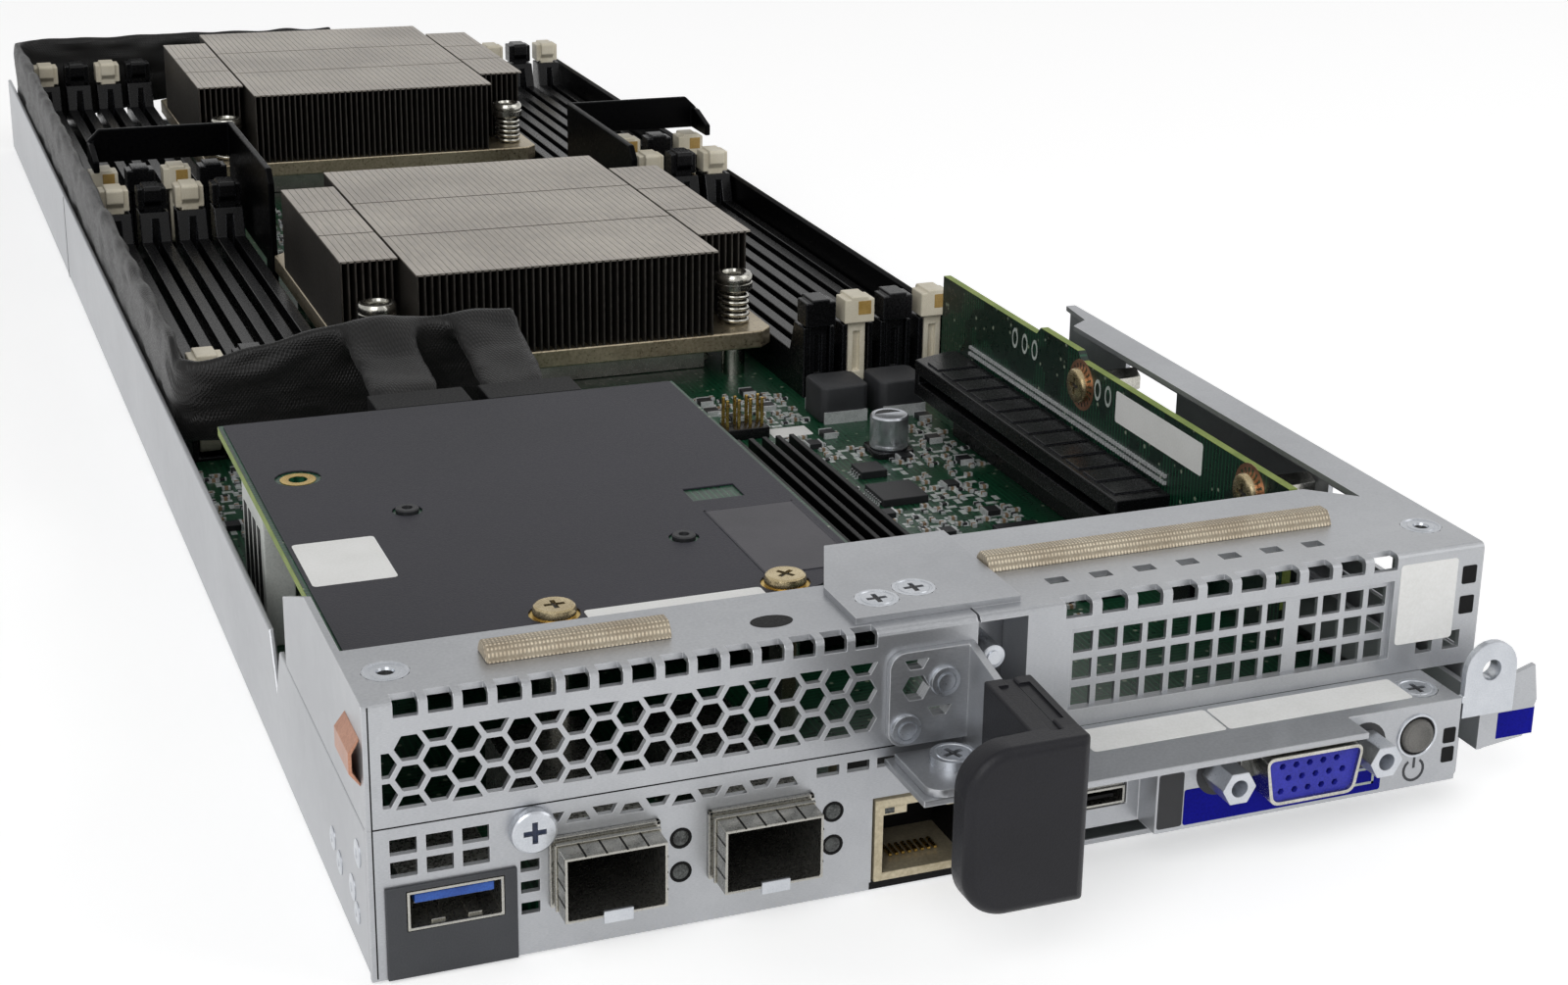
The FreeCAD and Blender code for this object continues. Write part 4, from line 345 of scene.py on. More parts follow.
def addRod(shape, start, end, radius, look=0, sides=20, width=0.0):
    part = bmesh.new()
    first, last = at(*start), at(*end)
    turn = (last - first).to_track_quat("Z", "Y").to_matrix().to_4x4()
    bmesh.ops.create_cone(part, cap_ends=True, segments=sides, radius1=radius * mm, radius2=radius * mm,
                          depth=(last - first).length, matrix=Matrix.Translation((first + last) / 2) @ turn)
    if width:
        bevelEdges(part, width)
    mergeIn(shape, part, look)


def addPlate(shape, outline, low, high, look=0, width=0.0, turn=None, place=at):
    # outline in x and y, thickness from low to high; turn(x, y, z) gives other planes
    part = bmesh.new()
    turn = turn or (lambda x, y, z: (x, y, z))
    rings = [[part.verts.new(place(*turn(x, y, z))) for x, y in outline] for z in (low, high)]
    count = len(outline)
    part.faces.new(rings[0][::-1])
    part.faces.new(rings[1])
    for k in range(count):
        j = (k + 1) % count
        part.faces.new([rings[0][k], rings[0][j], rings[1][j], rings[1][k]])
    bmesh.ops.recalc_face_normals(part, faces=part.faces)
    if width:
        bevelEdges(part, width)
    mergeIn(shape, part, look)


def addLathe(shape, profile, look=0, sides=24, spot=(0, 0, 0), turn=None, place=raw, ring=False):
    # profile: radius and height pairs from the bottom up; a ring joins its last pair to its first
    part = bmesh.new()
    rings = []
    for radius, height in profile:
        steps = [0.0] if radius == 0 else [2 * math.pi * k / sides for k in range(sides)]
        rings.append([part.verts.new(raw(radius * math.cos(a), radius * math.sin(a), height)) for a in steps])
    for low, high in zip(rings, rings[1:] + rings[:1] if ring else rings[1:]):
        for k in range(sides):
            j = (k + 1) % sides
            start = [low[k], low[j]] if len(low) > 1 else low
            end = [high[j], high[k]] if len(high) > 1 else high
            part.faces.new(start + end)
    for end in (rings[0], rings[-1]):
        if len(end) > 1 and not ring:
            part.faces.new(end)
    bmesh.ops.recalc_face_normals(part, faces=part.faces)
    if turn:
        bmesh.ops.transform(part, matrix=turn, verts=part.verts)
    bmesh.ops.translate(part, vec=place(*spot), verts=part.verts)
    mergeIn(shape, part, look)


def roundedOutline(left, low, right, high, radius, steps=4):
    points = []
    for x, y, start in ((right - radius, high - radius, 0), (left + radius, high - radius, 90),
                        (left + radius, low + radius, 180), (right - radius, low + radius, 270)):
        for k in range(steps + 1):
            angle = math.radians(start + 90 * k / steps)
            points.append((x + radius * math.cos(angle), y + radius * math.sin(angle)))
    return points


def ovalOutline(x, y, wide, high, count):
    angles = [2 * math.pi * k / count for k in range(count)]
    return [(x + wide * math.cos(angle), y + high * math.sin(angle)) for angle in angles]


def softOutline(points, radius, steps=5):
    # polygon with each corner turned into a short curve
    corners = [Vector(point) for point in points]
    outline = []
    for k, corner in enumerate(corners):
        start = corner + (corners[k - 1] - corner).normalized() * radius
        end = corner + (corners[(k + 1) % len(corners)] - corner).normalized() * radius
        for part in (step / steps for step in range(steps + 1)):
            outline.append(tuple(start * (1 - part) ** 2 + corner * 2 * part * (1 - part) + end * part ** 2))
    return outline


def addTube(shape, outer, inner, low, high, turn):
    part = bmesh.new()
    rings = [[part.verts.new(at(*turn(x, y, z))) for x, y in outline]
             for outline, z in ((outer, low), (outer, high), (inner, high), (inner, low))]
    for first, second in zip(rings, rings[1:] + rings[:1]):
        for k in range(len(outer)):
            j = (k + 1) % len(outer)
            part.faces.new([first[k], first[j], second[j], second[k]])
    bmesh.ops.recalc_face_normals(part, faces=part.faces)
    mergeIn(shape, part)


def carve(mesh, cutter):
    holders = []
    for part in (mesh, cutter):
        holder = bpy.data.objects.new("carving", part)
        bpy.context.scene.collection.objects.link(holder)
        holders.append(holder)
    knife = holders[0].modifiers.new("cut", "BOOLEAN")
    knife.operation, knife.solver, knife.object = "DIFFERENCE", "EXACT", holders[1]
    bpy.context.view_layer.update()
    ready = holders[0].evaluated_get(bpy.context.evaluated_depsgraph_get())
    shape = bmesh.new()
    shape.from_mesh(ready.data)
    for holder in holders:
        bpy.data.objects.remove(holder)
    return meshOf(shape)


def startTree(title, sockets):
    tree = bpy.data.node_groups.new(title, "GeometryNodeTree")
    tree.interface.new_socket("Geometry", in_out="OUTPUT", socket_type="NodeSocketGeometry")
    for label, kind in sockets.items():
        tree.interface.new_socket(label, in_out="INPUT", socket_type="NodeSocket" + kind)
    return tree, addNode(tree, "NodeGroupInput").outputs


def endTree(tree, *parts):
    joined = addNode(tree, "GeometryNodeJoinGeometry")
    for geometry, finish in parts:
        real = addNode(tree, "GeometryNodeRealizeInstances", {"Geometry": geometry}).outputs[0]
        coated = addNode(tree, "GeometryNodeSetMaterial", {"Geometry": real, "Material": finish}).outputs[0]
        tree.links.new(coated, joined.inputs[0])
    addNode(tree, "NodeGroupOutput", {0: joined.outputs[0]})


def shapeOf(tree, item):
    return addNode(tree, "GeometryNodeObjectInfo", {"Object": item}).outputs["Geometry"]


# rows and columns of one shape
rowTree, given = startTree("rowsOfCopies", {"Count": "Int", "Start": "Vector", "Step": "Vector",
                                            "Rows": "Int", "Row step": "Vector", "Shape": "Object",
                                            "Finish": "Material"})
line = addNode(rowTree, "GeometryNodeMeshLine", {"Count": given["Count"], "Start Location": given["Start"],
                                                 "Offset": given["Step"]}, mode="OFFSET").outputs[0]
column = addNode(rowTree, "GeometryNodeMeshLine", {"Count": given["Rows"], "Offset": given["Row step"]},
                 mode="OFFSET").outputs[0]
field = addNode(rowTree, "GeometryNodeInstanceOnPoints", {"Points": line, "Instance": column}).outputs[0]
field = addNode(rowTree, "GeometryNodeRealizeInstances", {"Geometry": field}).outputs[0]
copies = addNode(rowTree, "GeometryNodeInstanceOnPoints", {"Points": field,
                                                           "Instance": shapeOf(rowTree, given["Shape"])})
endTree(rowTree, (copies.outputs[0], given["Finish"]))

# one shape at given spots, each with its own turn
spotTree, given = startTree("copiesOnSpots", {"Spots": "Geometry", "Shape": "Object", "Finish": "Material"})
turns = addNode(spotTree, "GeometryNodeInputNamedAttribute", {"Name": "turn"}, data_type="FLOAT_VECTOR")
turns = addNode(spotTree, "FunctionNodeEulerToRotation", {0: turns.outputs["Attribute"]}).outputs[0]
copies = addNode(spotTree, "GeometryNodeInstanceOnPoints", {"Points": given["Spots"], "Rotation": turns,
                                                            "Instance": shapeOf(spotTree, given["Shape"])})
endTree(spotTree, (copies.outputs[0], given["Finish"]))

# wire coils at given spots
coilTree, given = startTree("wireCoils", {"Spots": "Geometry", "Radius": "Float", "Wire": "Float",
                                          "Turns": "Float", "Height": "Float", "Finish": "Material"})
path = addNode(coilTree, "GeometryNodeCurveSpiral", {"Resolution": 18, "Rotations": given["Turns"],
                                                     "Start Radius": given["Radius"],
                                                     "End Radius": given["Radius"],
                                                     "Height": given["Height"]}).outputs[0]
wireRound = addNode(coilTree, "GeometryNodeCurvePrimitiveCircle", {"Resolution": 7, "Radius": given["Wire"]})
wire = addNode(coilTree, "GeometryNodeCurveToMesh", {"Curve": path, "Profile Curve": wireRound.outputs[0],
                                                     "Fill Caps": True}).outputs[0]
copies = addNode(coilTree, "GeometryNodeInstanceOnPoints", {"Points": given["Spots"], "Instance": wire})
endTree(coilTree, (copies.outputs[0], given["Finish"]))

# small two-ended parts strewn over a patch of board, turned in quarter steps
strewTree, given = startTree("strewnParts", {"Patch": "Geometry", "Spacing": "Float", "Density": "Float",
                                             "Seed": "Int", "Cluster": "Float", "Bare": "Float",
                                             "Shape": "Object", "Ends": "Object", "Finish": "Material",
                                             "End finish": "Material"})
spread = addNode(strewTree, "GeometryNodeDistributePointsOnFaces",
                 {"Mesh": given["Patch"], "Distance Min": given["Spacing"], "Density Max": given["Density"],
                  "Seed": given["Seed"]}, distribute_method="POISSON").outputs["Points"]
cluster = addNode(strewTree, "ShaderNodeTexNoise", {"Scale": given["Cluster"], "Detail": 2.0}).outputs["Fac"]
bare = addNode(strewTree, "ShaderNodeMath", {0: cluster, 1: given["Bare"]}, operation="LESS_THAN").outputs[0]
spread = addNode(strewTree, "GeometryNodeDeleteGeometry", {"Geometry": spread, "Selection": bare},
                 domain="POINT").outputs[0]
quarter = addNode(strewTree, "FunctionNodeRandomValue", {"Seed": given["Seed"]}, data_type="INT")
quarter.inputs[4].default_value, quarter.inputs[5].default_value = 0, 1
angle = addNode(strewTree, "ShaderNodeMath", {0: quarter.outputs[2], 1: math.pi / 2}, operation="MULTIPLY")
angle = addNode(strewTree, "ShaderNodeCombineXYZ", {"Z": angle.outputs[0]}).outputs[0]
angle = addNode(strewTree, "FunctionNodeEulerToRotation", {0: angle}).outputs[0]
bodies = addNode(strewTree, "GeometryNodeInstanceOnPoints", {"Points": spread, "Rotation": angle,
                                                             "Instance": shapeOf(strewTree, given["Shape"])})
ends = addNode(strewTree, "GeometryNodeInstanceOnPoints", {"Points": spread, "Rotation": angle,
                                                           "Instance": shapeOf(strewTree, given["Ends"])})
endTree(strewTree, (bodies.outputs[0], given["Finish"]), (ends.outputs[0], given["End finish"]))


def runTree(tree, base, **values):
    holder = bpy.data.objects.new("holder", base or bpy.data.meshes.new("empty"))
    bpy.context.scene.collection.objects.link(holder)
    made = [holder]
    modifier = holder.modifiers.new("nodes", "NODES")
    modifier.node_group = tree
    for socket in tree.interface.items_tree:
        label = socket.name.replace(" ", "_").lower()
        if socket.in_out != "INPUT" or label not in values:
            continue
        value = values[label]
        if isinstance(value, bmesh.types.BMesh):
            value = meshOf(value)
        if isinstance(value, bpy.types.Mesh):
            value = bpy.data.objects.new("template", value)
            bpy.context.scene.collection.objects.link(value)
            made.append(value)
        modifier[socket.identifier] = finishes[value] if isinstance(value, str) else value
    bpy.context.view_layer.update()
    ready = holder.evaluated_get(bpy.context.evaluated_depsgraph_get())
    mesh = joinMeshes([bpy.data.meshes.new_from_object(ready)])
    holder.modifiers.remove(modifier)
    for item in made:
        bpy.data.objects.remove(item)
    return mesh


def rowMesh(shape, look, count, start, step, rows=1, rowStep=(0, 0, 0)):
    return runTree(rowTree, None, count=count, start=at(*start), step=raw(*step), rows=rows,
                   row_step=raw(*rowStep), shape=shape, finish=look)


def spotMesh(shape, look, spots):
    # spots: x, y, z and an optional turn in degrees
    base = bpy.data.meshes.new("spots")
    base.from_pydata([at(*spot[:3]) for spot in spots], [], [])
    turn = base.attributes.new("turn", "FLOAT_VECTOR", "POINT")
    for k, spot in enumerate(spots):
        turn.data[k].vector = [math.radians(part) for part in (spot[3] if len(spot) > 3 else (0, 0, 0))]
    return runTree(spotTree, base, shape=shape, finish=look)


def joinMeshes(meshes):
    looks, shape = [], bmesh.new()
    for mesh in meshes:
        places = []
        for finish in mesh.materials:
            if finish and finish not in looks:
                looks.append(finish)
            places.append(looks.index(finish) if finish else 0)
        for face in mesh.polygons:
            face.material_index = places[face.material_index]
        shape.from_mesh(mesh)
        bpy.data.meshes.remove(mesh)
    mesh = meshOf(shape)
    for finish in looks:
        mesh.materials.append(finish)
    return mesh


# folded sheet, mouldings and shells that keep the CAD shape and gain softened edges
softPieces = {
    "tray": ("galvanised_steel", 0.3), "io_panel": ("galvanised_steel", 0.12),
    "grille_bracket": ("galvanised_steel", 0.12), "slot_cage": ("galvanised_steel", 0.14),
    "slot_cover": ("galvanised_steel", 0.1), "io_box": ("galvanised_steel", 0.16),
    "handle_bracket": ("galvanised_steel", 0.2), "lock_ear": ("zinc_screw", 0.18),
    "copper_contact": ("copper", 0.1), "emi_gaskets": ("conductive_fabric", 0.3),
    "usb_bezel": ("dark_bezel", 0.14), "vga_insert": ("port_blue", 0.08),
    "vga_jackscrews": ("zinc_screw", 0.2), "back_connector": ("chip_black", 0.2),
    "chipset_heatsink": ("black_fins", 0.16), "cpu_sockets": ("nickel", 0.2), "processors": ("cpu_lid", 0.4),
    "socket_levers": ("nickel", 0.2), "memory_sockets_front_left": ("socket_black", 0.22),
    "memory_sockets_front_right": ("socket_black", 0.22), "memory_sockets_rear_left": ("socket_black", 0.22),
    "memory_sockets_rear_right": ("socket_black", 0.22), "riser_socket": ("socket_black", 0.25),
    "air_baffles": ("gloss_black", 0.35), "wall_trim": ("gloss_black", 0.12),
    "board_standoffs": ("nickel", 0.2), "mezzanine_film": ("film_charcoal", 0.1),
}
foldedTops = {"nodes": ("grille_bracket", "slot_cage"), "height": 40.4, "radius": 0.95, "near": 0.05}


def onFold(vert):
    near, height = foldedTops["near"] * mm, foldedTops["height"] * mm
    return abs(vert.co.y - frontY) < near and abs(vert.co.z - height) < near


for nodeName, (look, width) in softPieces.items():
    shape = copyOf(nodeName)
    if nodeName in foldedTops["nodes"]:
        folds = [edge for edge in shape.edges if all(onFold(vert) for vert in edge.verts)]
        roundEdges(shape, folds, foldedTops["radius"])
    bevelEdges(shape, width)
    putPiece(nodeName + "_soft", meshOf(shape), look, nodes=[nodeName])
print("softened pieces:", len(softPieces))

# boards keep the CAD shape and take a masked-copper finish
boardLooks = {"motherboard": "board_green", "mezzanine_card": "board_green", "riser_board": "riser_green"}
for nodeName, look in boardLooks.items():
    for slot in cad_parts[nodeName].material_slots:
        slot.material = finishes[look]


def makeHeatSinks():
    sink = {"pitch": 1.55, "thick": 0.36, "flange": 1.42, "lap": 0.02, "sheet": 0.4, "drop": 0.1, "low": 19.0,
            "top": 38.0, "base": 15.0, "axis": 2.0, "middle": 67.0, "width": 93.2, "length": 98.0,
            "sideLength": 68.0, "corner": 3.0, "edge": 0.35, "tabRows": (0.34, 0.66), "tabGap": 0.7,
            "setBack": 0.1, "depths": {"front": 256.5, "rear": 450.5}}

    def fin(length):
        plate, fold = bmesh.new(), bmesh.new()
        addBox(plate, (0, 0, sink["low"]), (sink["thick"], length, sink["top"] - sink["drop"]), place=raw)
        cuts = [sink["setBack"]]
        for part in sink["tabRows"]:
            cuts += [part * length - sink["tabGap"] / 2, part * length + sink["tabGap"] / 2]
        cuts.append(length - sink["setBack"])
        for start, end in zip(cuts[::2], cuts[1::2]):  # folded top, open at the two rows of tabs
            corner = (-sink["lap"], start, sink["top"] - sink["sheet"])
            addBox(fold, corner, (sink["flange"], end, sink["top"]), place=raw)
        # plates take the painted shade, the folded tops the aluminium's own tone
        return (plate, "fin_shade"), (fold, "fin_aluminium")

    half, mid, axis, pitch = sink["width"] / 2, sink["middle"] / 2, sink["axis"], sink["pitch"]
    groups = [(axis - half, axis - mid, sink["sideLength"]), (axis - mid, axis + mid, sink["length"]),
              (axis + mid, axis + half, sink["sideLength"])]
    for name, depth in sink["depths"].items():
        stacks = []
        for left, right, length in groups:
            count = int((right - left) / pitch)
            spare = (right - left - count * pitch) / 2
            start = (left + spare, depth - length / 2, 0)
            for shape, look in fin(length):
                stacks.append(rowMesh(shape, look, count, start, (pitch, 0, 0)))
        putPiece(f"heatsink_{name}_fins", joinMeshes(stacks), None, nodes=[f"heatsink_{name}"])
        base = bmesh.new()
        near, far, cut = depth - sink["length"] / 2, depth + sink["length"] / 2, sink["corner"]
        left, right = axis - half, axis + half
        outline = [(left + cut, near), (right - cut, near), (right, near + cut), (right, far - cut),
                   (right - cut, far), (left + cut, far), (left, far - cut), (left, near + cut)]
        addPlate(base, outline, sink["base"], sink["low"], width=sink["edge"])
        putPiece(f"heatsink_{name}_base", meshOf(base), "base_plate")

    screw = {"reach": 40.0, "spring": 3.15, "wire": 0.5, "turns": 5.0, "low": 19.4, "height": 6.9,
             "profile": ((2.6, 7), (2.6, 19), (1.9, 19.1), (1.9, 26.5), (3.9, 26.6), (4.2, 26.9), (4.2, 28.2),
                         (3.95, 28.4), (3.95, 28.7), (4.2, 28.9), (4.2, 29.8), (3.8, 30.4), (2.9, 30.6),
                         (2.5, 30.5), (2.3, 29.9), (1.5, 29.8), (1.4, 28.4), (0, 28.4))}
    spots = [(axis + sx * screw["reach"], depth + sy * screw["reach"], 0) for depth in sink["depths"].values()
             for sx in (-1, 1) for sy in (-1, 1)]
    cap = bmesh.new()
    addLathe(cap, screw["profile"], sides=28)
    caps = spotMesh(cap, "nickel", spots)
    putPiece("heatsink_screw_caps", caps, None, nodes=["heatsink_screws"], smooth=40)
    base = bpy.data.meshes.new("spots")
    base.from_pydata([at(x, y, screw["low"]) for x, y, z in spots], [], [])
    springs = runTree(coilTree, base, radius=screw["spring"] * mm, wire=screw["wire"] * mm,
                      turns=screw["turns"], height=screw["height"] * mm, finish="nickel")
    putPiece("heatsink_springs", springs, None, smooth=60)
    print("heat sinks done")


def crossHead(radius, height, flat=False):
    # round head with a cross recess, seated at z = 0; only the groove is in mm, the rest are shares
    cross = {"arm": 0.48, "width": 0.12, "depth": 0.62, "floor": 0.4, "groove": 0.12, "sides": 28}
    shape = bmesh.new()
    low = height - cross["groove"]
    profile = [(0.96, 0), (1, height * 0.25), (1, height * 0.6), (0.95, height * 0.88), (0.86, height),
               (0, height)]
    if flat:  # ring groove near the rim
        profile = [(1, 0), (1, height), (0.86, height + 0.01), (0.82, low), (0.74, low), (0.7, height),
                   (0, height)]
    addLathe(shape, [(radius * share, level) for share, level in profile], sides=cross["sides"])
    arm, wide, deep = radius * cross["arm"], radius * cross["width"], height * cross["depth"]
    outline = [(arm, -wide), (arm, wide), (wide, wide), (wide, arm), (-wide, arm), (-wide, wide),
               (-arm, wide), (-arm, -wide), (-wide, -wide), (-wide, -arm), (wide, -arm), (wide, -wide)]
    knife, floor = bmesh.new(), bmesh.new()
    addPlate(knife, outline, height - deep, height + 1, place=raw)
    # dark plate on the floor of the cross: painted shade in the recess
    addPlate(floor, outline, height - deep, height - deep * cross["floor"], place=raw)
    return carve(meshOf(shape), meshOf(knife)), floor


def crossScrews(radius, height, look, spots, flat=False, recess="chip_black"):
    head, floor = crossHead(radius, height, flat)
    return [spotMesh(head, look, spots), spotMesh(floor, recess, spots)]


def makeFasteners():
    forward, leftward = (90, 0, 0), (0, -90, 0)
    sheet = {"flats": [(72.4, -5.6, 19.6), (-11.4, 8.8, 40.4), (-4.8, 10.8, 40.4)], "flatSize": (3.2, 1.0),
             "panel": [(-64.6, 0, 19.1, forward)], "panelSize": (3.3, 1.8),
             "tab": [(-5.6, -6.2, 21.8, (0, 0, 20))], "tabSize": (3.3, 1.3),
             "stems": (((-64.6, 0, 19.1), (-64.6, 1, 19.1)), ((-5.6, -6.2, 20.6), (-5.6, -6.2, 21.9))),
             "stem": 1.5, "corners": [(-81.4, 9.6, 39.4), (81.4, 9.6, 39.4)],
             "rings": ((3.2, 0), (3.2, 1.0), (2.9, 1.02), (2.7, 0.86), (2.25, 0.86), (2.05, 1.0), (1.3, 1.0),
                       (1.1, 0.5), (0, 0.5)), "pit": ((1.1, 0.45), (1.1, 0.62), (0, 0.62))}
    ringed, pit, stems = bmesh.new(), bmesh.new(), bmesh.new()
    addLathe(ringed, sheet["rings"], sides=28)  # corner screws: rings round a small round hole, with a dark disc in it as painted shade
    addLathe(pit, sheet["pit"], sides=18)
    heads = crossScrews(*sheet["flatSize"], "zinc_screw", sheet["flats"], flat=True)
    heads += crossScrews(*sheet["panelSize"], "zinc_screw", sheet["panel"], recess="recess_blue")
    heads += crossScrews(*sheet["tabSize"], "zinc_screw", sheet["tab"], flat=True)
    heads += [spotMesh(ringed, "zinc_screw", sheet["corners"]), spotMesh(pit, "port_dark", sheet["corners"])]
    for start, end in sheet["stems"]:
        addRod(stems, start, end, sheet["stem"])
    heads.append(dressed(meshOf(stems), "zinc_screw"))
    putPiece("sheet_screw_heads", joinMeshes(heads), None, nodes=["sheet_screws"], smooth=35)

    rivet = {"spots": [(-10.8, -1.2, 25.4, forward), (-5.0, -1.2, 32.0, forward)],
             "profile": ((1.5, -2.2), (1.5, 0), (2.3, 0.01), (2.3, 0.45), (2.15, 0.7), (1.6, 0.75),
                         (1.5, 0.6), (1.35, 0.6), (1.25, 0.95), (0.9, 1.0), (0, 1.0))}
    shape = bmesh.new()
    addLathe(shape, rivet["profile"], sides=26)
    heads = spotMesh(shape, "zinc_screw", rivet["spots"])
    putPiece("handle_rivet_heads", heads, None, nodes=["handle_rivets"], smooth=40)

    card = {"pans": [(-49.8, 40.0, 31.6), (-13.2, 40.0, 31.6, (0, 0, 35))], "panSize": (3.3, 1.8),
            "small": [(-60.6, 89.0, 31.6), (-21.8, 63.0, 31.6)],
            "profile": ((1.2, -1.6), (1.2, 0), (1.9, 0.01), (1.9, 0.7), (1.7, 0.9), (0.9, 0.9), (0.8, 0.35),
                        (0, 0.35))}
    shape = bmesh.new()
    addLathe(shape, card["profile"], sides=22)
    heads = crossScrews(*card["panSize"], "gold_screw", card["pans"])
    heads.append(spotMesh(shape, "chip_black", card["small"]))
    putPiece("mezzanine_screw_heads", joinMeshes(heads), None, nodes=["mezzanine_screws"], smooth=35)

    riser = {"face": 74, "wall": 85.7, "places": ((48.0, 33.4), (110.0, 33.4)), "size": (3.4, 1.6),
             "post": 1.5, "spacer": (75.6, 2.5), "spacerEdge": 0.2, "teeth": 20,
             "tooth": ((2.6, -0.35, -0.06), (4.5, 0.35, 0.03)),
             "ring": ((4.3, -0.05), (4.3, 0.02), (5.0, 0.02), (5.0, -0.05))}
    face, wall = riser["face"], riser["wall"]
    heads = crossScrews(*riser["size"], "gold_screw", [(face, y, z, leftward) for y, z in riser["places"]])
    posts, rings, tooth = bmesh.new(), bmesh.new(), bmesh.new()
    start, radius = riser["spacer"]
    for y, z in riser["places"]:
        addRod(posts, (face, y, z), (wall, y, z), riser["post"], sides=16)
        addRod(posts, (start, y, z), (wall, y, z), radius, sides=6, width=riser["spacerEdge"])
    addBox(tooth, *riser["tooth"], place=raw)  # toothed copper ring round each screw
    across = Matrix.Rotation(math.radians(-90), 4, "Y")
    for y, z in riser["places"]:
        for k in range(riser["teeth"]):
            part = tooth.copy()
            turn = across @ Matrix.Rotation(2 * math.pi * k / riser["teeth"], 4, "Z")
            bmesh.ops.transform(part, matrix=Matrix.Translation(at(face, y, z)) @ turn, verts=part.verts)
            mergeIn(rings, part)
        addLathe(rings, riser["ring"], turn=across, spot=(face, y, z), place=at, ring=True)
    tooth.free()
    heads += [dressed(meshOf(posts), "nickel"), dressed(meshOf(rings), "copper")]
    putPiece("riser_screw_heads", joinMeshes(heads), None, nodes=["riser_screws"], smooth=35)
    print("fasteners done")


def makeLatches():
    latch = {"columns": {"left": (-49.6, -58.7, -67.8, -76.9), "right": (53.6, 62.7, 71.8, 80.9)},
             "ivory": (1, 3), "bevel": 0.28, "inset": (-0.4, 25.2, 2.7, 28.4), "proud": 0.05, "deep": 1.2,
             "insetBevel": 0.15}
    left, bottom, right, top = latch["inset"]
    for bank in ("front", "rear"):
        for side, columns in latch["columns"].items():
            for end in ("front", "rear"):
                node = f"latches_{bank}_{side}_{end}"
                low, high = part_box(node)
                shape = copyOf(node)
                bevelEdges(shape, latch["bevel"])
                for face in shape.faces:
                    x = face.calc_center_median().x / mm
                    column = min(range(len(columns)), key=lambda k: abs(columns[k] - x))
                    face.material_index = 0 if column in latch["ivory"] else 1
                outer = low.y if end == "front" else high.y  # thumb side
                sign = 1 if end == "front" else -1
                y = (outer - frontY) / mm
                for column in latch["ivory"]:
                    x = columns[column]
                    addBox(shape, (x + left, y - sign * latch["proud"], bottom),
                           (x + right, y + sign * latch["deep"], top), 2, latch["insetBevel"])
                putPiece(node + "_levers", meshOf(shape), ["latch_plastic", "socket_black", "latch_inset"],
                         body=node, nodes=[node])
    print("latches done")


def shareOf(value, start, end):
    return min(max((value - start) / (end - start), 0), 1)


def makeSleeve():
    sleeve = {"voxel": 1.3, "passes": 4, "wrinkle": 0.75, "foldScale": (0.1, 0.1, 0.42), "crushScale": 0.13,
              "crush": 0.6, "crushStart": (7, 3, 1), "squeeze": 0.135, "front": 181.0, "back": 505.0,
              "middle": 25.0, "sag": 6.5, "sagHeight": 10.5, "sagRun": (-36, -66), "nearRun": (-10, -2),
              "farRun": (8, 4), "dip": -3.0, "rise": 5.5, "riseRun": (-80, -50), "liftRun": (16, 34)}
    holder = bpy.data.objects.new("sleeve", meshOf(copyOf("cable_sleeve")))
    bpy.context.scene.collection.objects.link(holder)
    remesh = holder.modifiers.new("remesh", "REMESH")
    remesh.mode, remesh.voxel_size = "VOXEL", sleeve["voxel"] * mm
    bpy.context.view_layer.update()
    ready = bpy.data.meshes.new_from_object(holder.evaluated_get(bpy.context.evaluated_depsgraph_get()))
    bpy.data.objects.remove(holder)
    shape = bmesh.new()
    shape.from_mesh(ready)
    for step in range(sleeve["passes"]):
        bmesh.ops.smooth_vert(shape, verts=shape.verts, factor=0.5, use_axis_x=True, use_axis_y=True,
                              use_axis_z=True)
    shape.normal_update()
    low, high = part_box("cable_sleeve")
    front, middle = sleeve["front"], sleeve["middle"]
    for vert in shape.verts:
        spot = vert.co / mm
        folds = noise.noise(spot * Vector(sleeve["foldScale"]))  # long folds along the run
        crush = noise.noise(spot * sleeve["crushScale"] + Vector(sleeve["crushStart"]))
        swell = sleeve["wrinkle"] * (folds + sleeve["crush"] * crush) - sleeve["squeeze"]
        vert.co += vert.normal * mm * swell
        vert.co = [min(max(vert.co[k], low[k]), high[k]) for k in range(3)]
        depth, level = (vert.co.y - frontY) / mm, vert.co.z / mm
        if depth > sleeve["back"] and level < middle:  # hangs lower behind the memory
            share = shareOf(spot.x, *sleeve["sagRun"])
            vert.co.z -= mm * share * sleeve["sag"] * (middle - level) / sleeve["sagHeight"]
        near = shareOf(depth - front, *sleeve["nearRun"]) * shareOf(depth - front, *sleeve["farRun"])
        lift = sleeve["dip"] + sleeve["rise"] * shareOf(spot.x, *sleeve["riseRun"])  # low at the wall
        vert.co.z += mm * near * lift * shareOf(level, *sleeve["liftRun"])
    putPiece("cable_sleeve_cloth", meshOf(shape), "cable_fabric", nodes=["cable_sleeve"], smooth=70)
    print("sleeve done")


